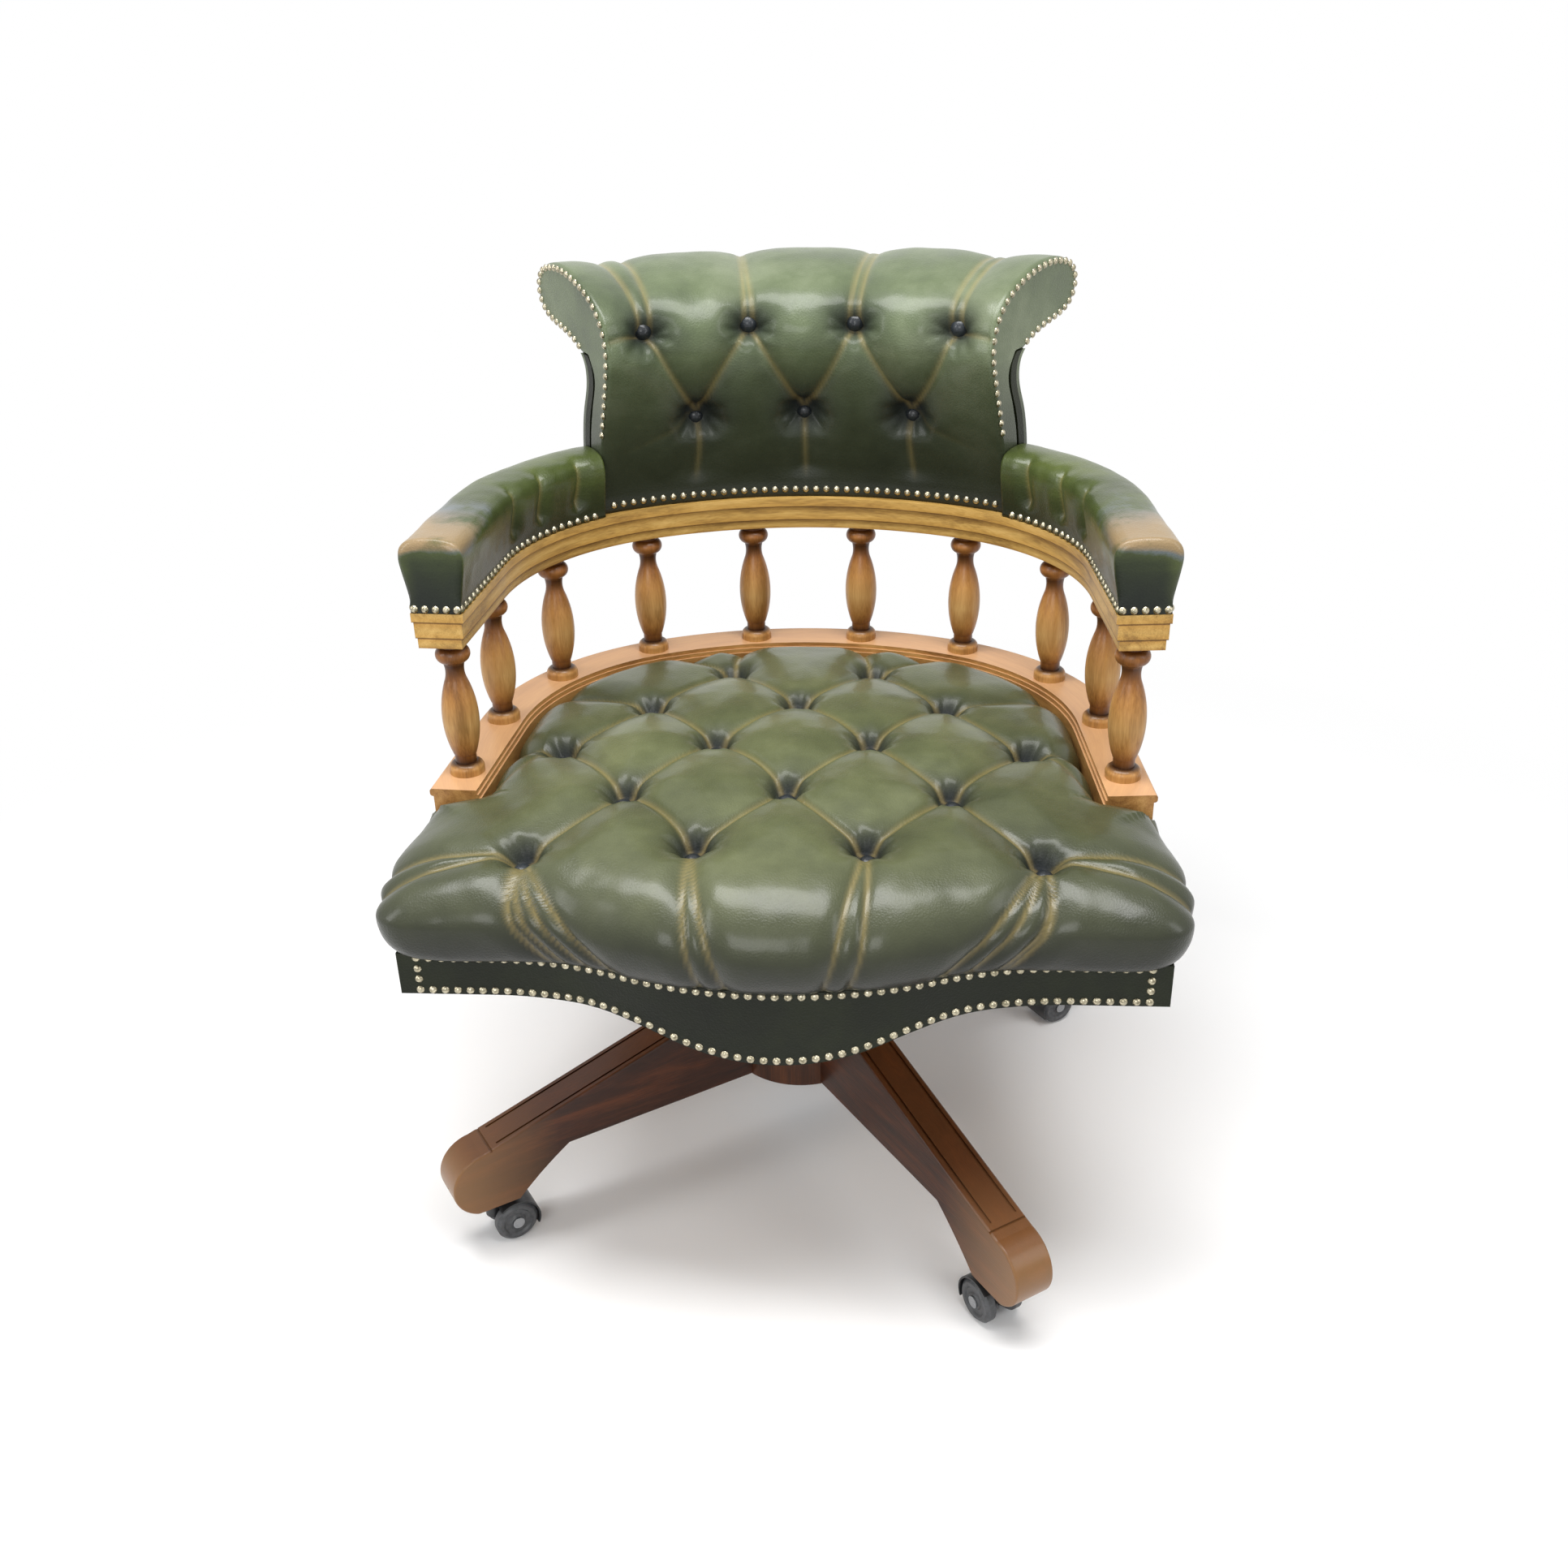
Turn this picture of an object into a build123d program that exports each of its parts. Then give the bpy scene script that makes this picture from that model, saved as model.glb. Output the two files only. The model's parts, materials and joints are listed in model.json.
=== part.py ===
# Captain's swivel desk chair: a horseshoe seat rail and arm bow joined by turned spindles,
# a scrolled and buttoned back, a buttoned seat with a shaped front apron, and a wooden
# four-legged star base on twin-wheel castors. Millimetres, +Z up, +Y to the back of the chair.
# The origin is on the floor, on the axis that the seat turns about.
from build123d import *
import os
from math import asin, atan2, cos, degrees, floor, radians, sin, sqrt, tan

os.makedirs("parts", exist_ok=True)

# Values shared by many pieces
overrun = 5.0               # how far a cutting solid runs past what it cuts
turn_gap = 0.05             # radial clearance of a shaft that turns or slides in its bore
rest_gap = 0.2              # flat clearance between pieces that turn or slide on each other
leather_gap = 0.3           # clearance round a leather-covered piece

# Horseshoe plan of the seat rail and the arm bow: centre line of the spindles
rear_y = 249.5              # apex of the centre line behind the swivel axis
rear_radius = 360.0         # arc across the back
rear_half_angle = 25.5      # half of that arc, degrees
side_radius = 215.0         # arcs at the two rear corners
flare_angle = 4.0           # how much the straight sides open towards the front, degrees
rail_front_y = -107.0       # cut front end of the seat rail
arm_front_y = -88.0         # cut front end of the arm bow

# Seat rail and frame
rail_top = 425.0
rail_width = 45.0
rail_height = 71.0
cap_thickness = 7.0
cap_overhang = 3.0
cap_round = 2.5
bead_depth = 1.6            # step between the two inner mouldings of the rail
bead_height = 4.0
frame_height = 38.0
frame_inner = 30.0          # frame's inner face inside the centre line
frame_outer = 6.0           # frame's outer face outside the centre line
board_thickness = 15.0
board_margin = 20.0         # the board's edge inside the frame's outer face

# Spindles
spindle_height = 122.5
spindle_pitch = 109.6       # along the centre line
spindles_per_side = 5
spindle_radius = 15.6       # at the belly
spindle_foot_radius = 15.3
# Heights as shares of the spindle's height: ring, foot, step, belly, its top, waist, its top, bead, throat, head
spindle_height_shares = [0.065, 0.085, 0.15, 0.37, 0.72, 0.80, 0.85, 0.905, 0.965, 0.985]
# Radii as shares of the belly's radius
neck_share = 0.60
waist_share = 0.52
bead_share = 0.95
throat_share = 0.64
head_share = 0.68
ring_share = 0.8            # how full the foot ring's rounding is
tenon_radius = 7.0
tenon_length = 12.0

# Arm bow and arm pads
bow_offset = 3.0            # the bow stands this much further out than the rail
bow_width = 45.0
bow_thickness = 30.7
bow_step = 1.8              # depth of the moulded steps
bow_upper_band = 8.0
bow_lower_band = 8.7
pad_height = 64.0
pad_bulge = 14.0            # leather outside the edge of the bow
pad_belly = 32.0            # height of the widest place
pad_shoulder = 51.0
pad_shoulder_draw = 7.0     # the shoulder lies inside the widest place
pad_draw = 1.0              # the leather is drawn in by this much at the nails
pad_hem = 9.0
pad_round = 9.0
pad_front_round = 4.0
pleat_depth = 6.0
pleat_width = 8.0
pleat_angle_first = 50.0    # the pleats' places on the corner arc, degrees
pleat_angle_pitch = 14.0
pleats_per_arm = 3

# Back
back_half_angle = 34.0      # the back's end faces stand on these radial planes, degrees
back_top = 804.0
back_reach = 100.0          # depth that the shares of the back's side view are taken of
cover_thickness = 5.0
back_board_thickness = 10.0
scroll_joint_share = 0.672  # height where the rear cover ends under the scroll

# Side view of the back: shares of the reach behind the centre line and of the height above the bow
back_rear_shares = [
    (0.24, 0.0), (0.24, 0.08), (0.20, 0.31), (0.11, 0.45), (0.015, 0.55), (0.01, 0.61),
    (0.10, scroll_joint_share),
]
back_front_shares = [
    (0.10, scroll_joint_share), (0.29, 0.71), (0.55, 0.738), (0.84, 0.772), (0.99, 0.825),
    (1.03, 0.893), (0.95, 0.957), (0.72, 0.997), (0.40, 1.0), (0.04, 0.965), (-0.27, 0.90),
    (-0.455, 0.806), (-0.51, 0.717), (-0.47, 0.606), (-0.36, 0.45), (-0.23, 0.274),
    (-0.135, 0.14), (-0.11, 0.07),
]

# Seat cushion
nail_line_z = 350.0         # upper nail row of the apron
cushion_crown = 452.0
dome_radius = 1700.0
dome_y = -50.0              # the crown's highest place
cushion_bulge = 17.0        # the leather roll stands this much ahead of the nail line
cushion_half_width = 325.0
cushion_shoulder_y = -165.0  # where the side has opened most of the way
cushion_shoulder_share = 0.68  # how far it has opened there
cushion_corner_share = 0.318  # corner's radius, from the hollow's centre to the cushion's side
roll_round = 28.0
roll_under = 12.0
rear_round = 20.0

# Apron
apron_half_width = 306.0
apron_middle_y = -299.0
apron_bow_radius = 331.0    # convex middle of its plan
apron_bow_half = 125.0
apron_hollow_radius = 280.0  # concave shoulders of its plan
apron_thickness = 20.0
apron_drop = 30.0           # how far the middle of its lower edge hangs below the ends
apron_drop_half = 85.0      # half width of the convex part of that edge
apron_drop_end = 165.0
side_band = 3.4             # leather band along the sides of the frame
front_rail_width = 36.0

# Buttons, tufts and nails
button_radius = 8.0
button_height = 5.0
pit_clearance = 0.5
seat_row_front = -212.0
seat_row_pitch = 88.0
seat_button_pitch = 138.0
seat_tuft_depth = 24.0
seat_tuft_radius = 44.0
back_upper_z = 751.0
back_lower_z = 663.0
back_upper_reach = -51.0    # leather at the upper buttons, behind the centre line
back_lower_reach = -29.0
back_button_turn = 17.4     # between two buttons of a row, degrees
back_tuft_depth = 20.0
back_tuft_radius = 34.0
channel_width = 11.0
channel_depth = 9.0
nail_radius = 3.4
nail_height = 2.2
nail_pitch = 10.2
nail_inset = 4.0            # nail centres from the edge of the leather
nail_seat = 0.1
front_nail_share = 0.9      # pitch across an arm's front face

# Star base
base_turn = -11.0           # how the star stands at rest, degrees
leg_count = 4
hub_radius = 70.0
hub_bottom = 87.0
hub_top = 196.0
hub_shoulder = 10.0
leg_width = 38.0
leg_top_inner = 186.0
leg_top_outer = 108.0
leg_length = 374.0          # axis to the tip of the toe
toe_reach = 344.0           # where the straight top line turns into the toe
toe_bottom = 46.0
toe_flat = 42.0             # flat under the toe that the castor stands under
toe_rise = 2.0              # how much the underside bulges where it rises to the arch
arch_end = 263.0
bead_width = 2.2
bead_inset = 6.0
bead_groove = 1.6
bead_start = 8.0            # groove ends from the hub and from the toe
bead_end = 16.0
toe_groove = 9.0            # cross groove from where the toe begins
leg_edge_round = 2.0
plate_thickness = 3.0
plate_arm_width = 28.0
plate_arm_reach = 112.0
screw_reach_inner = 45.0
screw_reach_outer = 95.0
screw_radius = 2.4
screw_head_radius = 4.6
screw_head_height = 2.4
screw_length = 24.0

# Castors
wheel_radius = 20.0
wheel_width = 12.0
wheel_gap = 16.0            # between the two wheels of a castor
wheel_round = 3.0
wheel_dish = 1.6
wheel_dish_inner = 6.5
wheel_dish_outer = 14.0
wheel_side_gap = 0.8
castor_reach = 335.0        # axis of the chair to the castor's stem
castor_trail = 16.0
axle_radius = 3.0
axle_cap_radius = 5.5
axle_cap_height = 1.2
stem_radius = 5.0
stem_height = 38.0          # length of the stem inside the leg
stem_depth = 18.0           # length of the stem inside the hood
stem_collar_radius = 10.0
stem_collar_height = 1.5
hood_gap = 0.9
hood_wall = 1.6
hood_low_angle = -25.0      # where the cover ends behind the wheels, degrees
hood_high_angle = 130.0     # where it ends above them, degrees
hood_hub_radius = 8.5

# Column, height screw and hand wheel
tube_radius = 25.0
tube_wall = 3.0
tube_flange_radius = 34.0
tube_flange_height = 4.0
tube_head = 8.0             # tube above the hub
bush_length = 48.0
screw_shaft_radius = 14.0
lift_travel = 60.0
key_width = 5.0
key_depth = 2.5
thread_pitch = 6.0
thread_depth = 0.9
screw_guard = 8.0           # plain ends of the threaded part
wheel_nut_radius = 45.0
wheel_nut_height = 17.0
wheel_nut_grips = 10
wheel_nut_round = 2.5
grip_radius = 5.0
shoulder_gap = 10.0         # height screw's shoulder above the hand wheel at rest
post_radius = 11.0
post_end = 1.4              # post above the retaining ring
ring_radius = 16.0
ring_height = 2.8

# Swivel cradle, tilt plate and tension spring
boss_radius = 24.0
boss_height = 24.0
cradle_half_width = 48.0
cradle_sheet = 4.0
cradle_lip = 12.0           # height of the cradle's sides at its ends
cradle_rear_y = 44.0
cradle_front_y = -114.0
pin_y = 20.0
pin_rise = 22.0             # pin axis above the cradle's floor
pin_radius = 6.0
pin_head_radius = 8.5
pin_head_height = 2.5
cheek_radius = 16.0
stop_y = -62.0
stop_length = 24.0
slot_front_y = -105.0
slot_rear_y = -83.0
plate_sheet = 4.0
plate_half_width = 85.0
plate_front_y = -118.0
plate_rear_y = 90.0
plate_corner = 12.0
lug_gap = 1.0
lug_radius = 14.0
bolt_y = -90.0
bolt_radius = 5.0
bolt_head_radius = 8.5
bolt_head_height = 5.0
bolt_bottom = 193.0
bolt_tail = 2.5             # bolt below the knob
knob_radius = 21.0
knob_height = 13.6
knob_grips = 8
knob_grip_radius = 4.0
cup_radius = 17.0
cup_sheet = 3.8
cup_rim = 4.0
cup_rim_width = 2.0
spring_radius = 11.5
spring_wire = 1.5
spring_turns = 4
plate_bolt_radius = 3.0
plate_bolt_head_radius = 5.5
plate_bolt_head_height = 3.5
plate_bolt_x = 66.0
plate_bolt_front_y = -100.0
plate_bolt_rear_y = 72.0
plate_bolt_grip = 12.0

# Heights that follow from the stack
frame_top = rail_top - rail_height
frame_bottom = frame_top - frame_height
board_bottom = frame_bottom - board_thickness
cushion_bottom = frame_top + leather_gap
bow_bottom = rail_top + spindle_height
bow_top = bow_bottom + bow_thickness
back_height = back_top - bow_top
tube_top = hub_top + tube_head
bush_bottom = tube_top - bush_length
screw_bottom = bush_bottom - lift_travel - overrun
hand_wheel_bottom = tube_top + rest_gap
hand_wheel_top = hand_wheel_bottom + wheel_nut_height
shoulder_z = hand_wheel_top + shoulder_gap
boss_bottom = shoulder_z + rest_gap
cradle_floor = boss_bottom + boss_height
cradle_under = cradle_floor - cradle_sheet
ring_bottom = cradle_floor + rest_gap
ring_top = ring_bottom + ring_height
pin_z = cradle_floor + pin_rise
tilt_plate_bottom = board_bottom - plate_sheet
knob_bottom = bolt_bottom + bolt_tail
knob_top = knob_bottom + knob_height
cup_bottom = knob_top + rest_gap
cup_top = cup_bottom + cup_sheet
hood_top = toe_bottom - stem_collar_height - rest_gap
hood_radius = wheel_radius + hood_gap + hood_wall

# The horseshoe's centres follow from its radii
rear_centre_y = rear_y - rear_radius
corner_reach = rear_radius - side_radius
corner_x = corner_reach * sin(radians(rear_half_angle))
corner_y = rear_centre_y + corner_reach * cos(radians(rear_half_angle))
side_end_angle = 90.0 - flare_angle
rear_axis = Axis((0, rear_centre_y, 0), (0, 0, 1))

# The apron's plan follows from its two radii
bow_turn = asin(apron_bow_half / apron_bow_radius)
bow_centre_y = apron_middle_y + apron_bow_radius
hollow_x = (apron_bow_radius + apron_hollow_radius) * sin(bow_turn)
hollow_y = bow_centre_y - (apron_bow_radius + apron_hollow_radius) * cos(bow_turn)
apron_ends_y = hollow_y + apron_hollow_radius
cushion_corner = cushion_corner_share * (cushion_half_width - hollow_x)
frame_front_y = apron_ends_y + apron_thickness


def save(node, shape):
    """Write one node, as one solid or a group of separate solids."""
    shape.label = node
    export_step(shape, f"parts/{node}.step")


def group(solids):
    """Separate solids kept together in one node."""
    return Compound(children=[s.solid() if len(s.solids()) == 1 else s for s in solids])


def cylinder(radius, bottom, height, x=0.0, y=0.0):
    """An upright cylinder that stands on the given height."""
    return Pos(x, y, bottom) * Cylinder(radius, height, align=(Align.CENTER, Align.CENTER, Align.MIN))


def block(x0, x1, y0, y1, z0, z1):
    """A block between two corners."""
    return Pos((x0 + x1) / 2, (y0 + y1) / 2, (z0 + z1) / 2) * Box(x1 - x0, y1 - y0, z1 - z0)


def turned(outline):
    """A solid of revolution from a closed outline of (radius, height) points."""
    return revolve(Plane.XZ * make_face(Polyline(*outline, close=True)), axis=Axis.Z)


def turned_edges(edges):
    """A solid of revolution from the edges of a closed outline."""
    return revolve(Plane.XZ * make_face(edges), axis=Axis.Z)


def corner_point(angle, offset):
    """A point on the right corner arc, by its direction from straight back."""
    radius = side_radius + offset
    return (corner_x + radius * sin(radians(angle)), corner_y + radius * cos(radians(angle)))


def rear_point(angle, offset):
    """A point on the rear arc, by its direction from straight back."""
    radius = rear_radius + offset
    return (radius * sin(radians(angle)), rear_centre_y + radius * cos(radians(angle)))


def side_point(y, offset):
    """A point on the straight right side, at a given depth."""
    x, start = corner_point(side_end_angle, offset)
    return (x + (start - y) * tan(radians(flare_angle)), y)


def mirrored(point):
    return (-point[0], point[1])


def horseshoe(offset, front_y):
    """The whole horseshoe as one wire, from its right front end to its left one."""
    end = corner_point(side_end_angle, offset)
    mid = (side_end_angle + rear_half_angle) / 2
    joint = corner_point(rear_half_angle, offset)
    return Wire([
        Line(side_point(front_y, offset), end),
        ThreePointArc(end, corner_point(mid, offset), joint),
        ThreePointArc(joint, rear_point(0, offset), mirrored(joint)),
        ThreePointArc(mirrored(joint), mirrored(corner_point(mid, offset)), mirrored(end)),
        Line(mirrored(end), mirrored(side_point(front_y, offset))),
    ])


def station(distance):
    """Place and outward direction on the right centre line, by distance from the apex."""
    rear_length = rear_radius * radians(rear_half_angle)
    corner_length = side_radius * radians(side_end_angle - rear_half_angle)
    if distance <= rear_length:
        angle = degrees(distance / rear_radius)
        return rear_point(angle, 0), angle
    if distance <= rear_length + corner_length:
        angle = rear_half_angle + degrees((distance - rear_length) / side_radius)
        return corner_point(angle, 0), angle
    left = distance - rear_length - corner_length
    end = corner_point(side_end_angle, 0)
    step = radians(flare_angle)
    return (end[0] + left * sin(step), end[1] - left * cos(step)), side_end_angle


def station_offset(distance, offset):
    """A point beside the centre line, moved outwards by the offset."""
    point, angle = station(distance)
    return (point[0] + offset * sin(radians(angle)), point[1] + offset * cos(radians(angle)))


def moulded(face, offset, front_y, bottom):
    """Sweep a face, drawn outwards and upwards, round the horseshoe."""
    path = Pos(0, 0, bottom) * horseshoe(offset, front_y)
    start = side_point(front_y, offset)
    outward = (cos(radians(flare_angle)), sin(radians(flare_angle)), 0)
    forward = (sin(radians(flare_angle)), -cos(radians(flare_angle)), 0)
    plane = Plane(origin=(start[0], start[1], bottom), x_dir=outward, z_dir=forward)
    return sweep(plane * face, path=path)


def spindle_places():
    """The ten spindle feet, left and right from the apex outwards."""
    places = []
    for number in range(spindles_per_side):
        point, _ = station(spindle_pitch * (number + 0.5))
        places.append(("right", number + 1, point))
        places.append(("left", number + 1, mirrored(point)))
    return places


def leg_angles():
    return [base_turn - 135.0 + 360.0 / leg_count * k for k in range(leg_count)]


def leg_place(angle, reach):
    return (reach * cos(radians(angle)), reach * sin(radians(angle)))


# The star base

def leg_slope():
    return (leg_top_inner - leg_top_outer) / (toe_reach - hub_radius)


def leg_top(reach):
    """Height of a leg's straight top line at a distance from the axis."""
    return leg_top_inner - leg_slope() * (reach - hub_radius)


def leg_outline():
    """Side view of a leg, as (distance from the axis, height)."""
    inner = hub_radius - overrun
    shoulder = (toe_reach, leg_top_outer)
    nose = (leg_length, (leg_top_outer + toe_bottom) / 2)
    heel = (castor_reach + toe_flat / 2, toe_bottom)
    flat_end = (castor_reach - toe_flat / 2, toe_bottom)
    arch = (arch_end, hub_bottom)
    rise = ((flat_end[0] + arch[0]) / 2, (flat_end[1] + arch[1]) / 2 + toe_rise)
    return make_face([
        Line((inner, leg_top(inner)), shoulder),
        ThreePointArc(shoulder, nose, heel),
        Line(heel, flat_end),
        ThreePointArc(flat_end, rise, arch),
        Line(arch, (inner, hub_bottom)),
        Line((inner, hub_bottom), (inner, leg_top(inner))),
    ])


def leg():
    """One leg along +X, coped to the hub, with its bead grooves, screw hole and castor bore."""
    body = extrude(Plane.XZ * leg_outline(), leg_width / 2, both=True)
    upper = (leg_top_outer + toe_bottom) / 2 - turn_gap
    long_edges = [e for e in body.edges()
                  if abs(abs(e.center().Y) - leg_width / 2) < turn_gap and e.center().Z > upper
                  and e.center().X > hub_radius]
    body = fillet(long_edges, leg_edge_round)
    body = body - cylinder(hub_radius, 0, hub_top)
    start, end = hub_radius + bead_start, toe_reach - bead_end
    groove = make_face(Polyline(
        (start, leg_top(start) - bead_groove), (end, leg_top(end) - bead_groove),
        (end, leg_top(end) + overrun), (start, leg_top(start) + overrun), close=True))
    groove = extrude(Plane.XZ * groove, bead_width / 2, both=True)
    beads = leg_width / 2 - bead_inset
    body = body - Pos(0, beads, 0) * groove - Pos(0, -beads, 0) * groove
    cross = toe_reach - toe_groove
    body = body - block(cross - bead_width / 2, cross + bead_width / 2, -leg_width, leg_width,
                        leg_top(cross) - bead_groove, leg_top(cross) + overrun)
    body = body - cylinder(screw_radius, hub_bottom - overrun, screw_length - plate_thickness + overrun,
                           screw_reach_outer, 0)
    return body - cylinder(stem_radius, toe_bottom - overrun, stem_height + overrun, castor_reach, 0)


def base_screw_places():
    """Where the cross under the hub is screwed up into the hub and the legs."""
    return [leg_place(angle, reach) for angle in leg_angles()
            for reach in (screw_reach_inner, screw_reach_outer)]


def hub():
    body = cylinder(hub_radius, hub_bottom, hub_top - hub_bottom)
    body = fillet(body.edges().filter_by(GeomType.CIRCLE).sort_by(Axis.Z)[-1], hub_shoulder)
    body = body - cylinder(tube_radius, hub_bottom - overrun, hub_top - hub_bottom + 2 * overrun)
    for x, y in base_screw_places():
        body = body - cylinder(screw_radius, hub_bottom - overrun,
                               screw_length - plate_thickness + overrun, x, y)
    return body


def base_plate():
    """Steel cross that ties the four legs under the hub."""
    low = hub_bottom - plate_thickness
    arm = block(-plate_arm_reach, plate_arm_reach, -plate_arm_width / 2, plate_arm_width / 2, low, hub_bottom)
    body = Rot(0, 0, base_turn + 45) * arm + Rot(0, 0, base_turn + 135) * arm
    for x, y in base_screw_places():
        body = body - cylinder(screw_radius, low - overrun, plate_thickness + 2 * overrun, x, y)
    return body


def base_screws():
    low = hub_bottom - plate_thickness
    screw = cylinder(screw_radius, low, screw_length)
    screw = screw + cylinder(screw_head_radius, low - screw_head_height, screw_head_height)
    return group([Pos(x, y, 0) * screw for x, y in base_screw_places()])


def column_tube():
    tube = cylinder(tube_radius, hub_bottom, tube_top - hub_bottom)
    tube = tube + cylinder(tube_flange_radius, hub_top, tube_flange_height)
    return tube - cylinder(tube_radius - tube_wall, hub_bottom - overrun, tube_top - hub_bottom + 2 * overrun)


def guide_bush():
    """Sleeve in the top of the tube, with a tongue that keeps the height screw from turning."""
    bore = screw_shaft_radius + turn_gap
    body = cylinder(tube_radius - tube_wall, bush_bottom, bush_length)
    body = body - cylinder(bore, bush_bottom - overrun, bush_length + 2 * overrun)
    tongue = block(bore - key_depth, (bore + tube_radius - tube_wall) / 2,
                   -key_width / 2, key_width / 2, bush_bottom, tube_top)
    return body + tongue


def lift_screw():
    """Threaded shaft with a key slot, a shoulder and the post that the seat turns on."""
    low, high = screw_bottom + screw_guard, shoulder_z - screw_guard
    outline = [(0, screw_bottom), (screw_shaft_radius, screw_bottom), (screw_shaft_radius, low)]
    for number in range(floor((high - low) / thread_pitch)):
        z = low + thread_pitch * number
        outline.append((screw_shaft_radius, z + thread_pitch / 4))
        outline.append((screw_shaft_radius - thread_depth, z + thread_pitch / 2))
        outline.append((screw_shaft_radius, z + thread_pitch * 3 / 4))
    outline += [(screw_shaft_radius, shoulder_z), (post_radius, shoulder_z),
                (post_radius, ring_top + post_end), (0, ring_top + post_end)]
    slot = block(screw_shaft_radius - key_depth - rest_gap, screw_shaft_radius + overrun,
                 -key_width / 2 - turn_gap, key_width / 2 + turn_gap,
                 screw_bottom - overrun, tube_top)
    return turned(outline) - slot


def retaining_ring():
    return cylinder(ring_radius, ring_bottom, ring_height) \
        - cylinder(post_radius, ring_bottom - overrun, ring_height + 2 * overrun)


def hand_wheel():
    """Grooved nut wheel that raises and lowers the height screw."""
    body = cylinder(wheel_nut_radius, hand_wheel_bottom, wheel_nut_height)
    for number in range(wheel_nut_grips):
        x, y = leg_place(360 / wheel_nut_grips * number, wheel_nut_radius)
        body = body - cylinder(grip_radius, hand_wheel_bottom - overrun,
                               wheel_nut_height + 2 * overrun, x, y)
    rims = body.faces().sort_by(Axis.Z)
    body = chamfer(rims[0].outer_wire().edges() + rims[-1].outer_wire().edges(), wheel_nut_round)
    return body - cylinder(screw_shaft_radius + turn_gap, hand_wheel_bottom - overrun,
                           wheel_nut_height + 2 * overrun)


# Castors: built at the stem with the wheels trailing along +X, then put under a toe

def sector():
    """Side view of the space under the castor's cover, as a slice of a disc."""
    middle = (hood_low_angle + hood_high_angle) / 2
    start, mid, end = [leg_place(angle, hood_radius) for angle in (hood_low_angle, middle, hood_high_angle)]
    return make_face([Line((0, 0), start), ThreePointArc(start, mid, end), Line(end, (0, 0))])


def hood():
    """Castor cover: a web between the wheels with the stem's neck, and a curved cover behind them."""
    web = wheel_gap - 2 * wheel_side_gap
    place = Plane(origin=(castor_trail, 0, wheel_radius), x_dir=(1, 0, 0), z_dir=(0, -1, 0))
    full = wheel_gap + 2 * wheel_width
    cover = extrude(place * sector(), full / 2, both=True)
    cover = cover - extrude(place * Circle(wheel_radius + hood_gap), full, both=True)
    body = cover + extrude(place * sector(), web / 2, both=True)
    body = body + extrude(place * Circle(hood_hub_radius), web / 2, both=True)
    foot = hood_top - stem_depth - stem_collar_height
    body = body + cylinder(web / 2, foot, hood_top - foot)
    body = body - extrude(place * Circle(axle_radius), full, both=True)
    return body - cylinder(stem_radius + turn_gap, hood_top - stem_depth, stem_depth + overrun)


def axle():
    """Axle with its two end caps."""
    half = wheel_gap / 2 + wheel_width + rest_gap
    place = Plane(origin=(castor_trail, 0, wheel_radius), x_dir=(1, 0, 0), z_dir=(0, -1, 0))
    pin = extrude(place * Circle(axle_radius), half, both=True)
    caps = extrude(place * Circle(axle_cap_radius), half + axle_cap_height, both=True)
    caps = caps - extrude(place * Circle(axle_cap_radius + overrun), half, both=True)
    return pin + caps


def wheel(side):
    """One castor wheel, dished on its outer face."""
    inner, outer = wheel_gap / 2, wheel_gap / 2 + wheel_width
    bore = axle_radius + turn_gap
    face = make_face(Polyline(
        (bore, inner), (wheel_radius - wheel_round, inner), (wheel_radius, inner + wheel_round),
        (wheel_radius, outer - wheel_round), (wheel_radius - wheel_round, outer),
        (wheel_dish_outer, outer), (wheel_dish_outer - wheel_dish, outer - wheel_dish),
        (wheel_dish_inner + wheel_dish, outer - wheel_dish), (wheel_dish_inner, outer),
        (bore, outer), close=True))
    place = Plane(origin=(castor_trail, 0, wheel_radius), x_dir=(1, 0, 0), z_dir=(0, side, 0))
    return place * revolve(Plane.XZ * face, axis=Axis.Z)


def castor_stem():
    """Stem and collar in the middle of a toe's underside."""
    low = hood_top - stem_depth + rest_gap
    stem = cylinder(stem_radius, low, toe_bottom + stem_height - low)
    return stem + cylinder(stem_collar_radius, toe_bottom - stem_collar_height, stem_collar_height)


def under_toe(angle):
    x, y = leg_place(angle, castor_reach)
    return Pos(x, y, 0) * Rot(0, 0, angle + 180)


# Swivel cradle, tilt plate and tension spring

def cradle():
    """Folded cradle on the post: boss, floor, two cheeks for the tilt pin and two stops."""
    inner = cradle_half_width - cradle_sheet
    body = block(-cradle_half_width, cradle_half_width, cradle_front_y, cradle_rear_y, cradle_under, cradle_floor)
    body = body + cylinder(boss_radius, boss_bottom, boss_height)
    rim = cradle_floor + cradle_lip
    side = make_face(Polyline(
        (cradle_front_y, cradle_under), (cradle_rear_y, cradle_under), (cradle_rear_y, rim),
        (pin_y + cheek_radius, pin_z), (pin_y - cheek_radius, pin_z),
        (stop_y + stop_length / 2, tilt_plate_bottom - rest_gap),
        (stop_y - stop_length / 2, tilt_plate_bottom - rest_gap),
        (cradle_front_y, rim), close=True)) + Pos(pin_y, pin_z) * Circle(cheek_radius)
    for x in (-cradle_half_width, inner):
        place = Plane(origin=(x, 0, 0), x_dir=(0, 1, 0), z_dir=(1, 0, 0))
        body = body + extrude(place * side, cradle_sheet)
    body = body - cylinder(post_radius + turn_gap, boss_bottom - overrun, boss_height + 2 * overrun)
    slot = bolt_radius + lug_gap
    body = body - block(-slot, slot, slot_front_y, slot_rear_y, cradle_under - overrun, cradle_floor + overrun)
    return body - pin_hole(pin_radius, 0)


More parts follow.
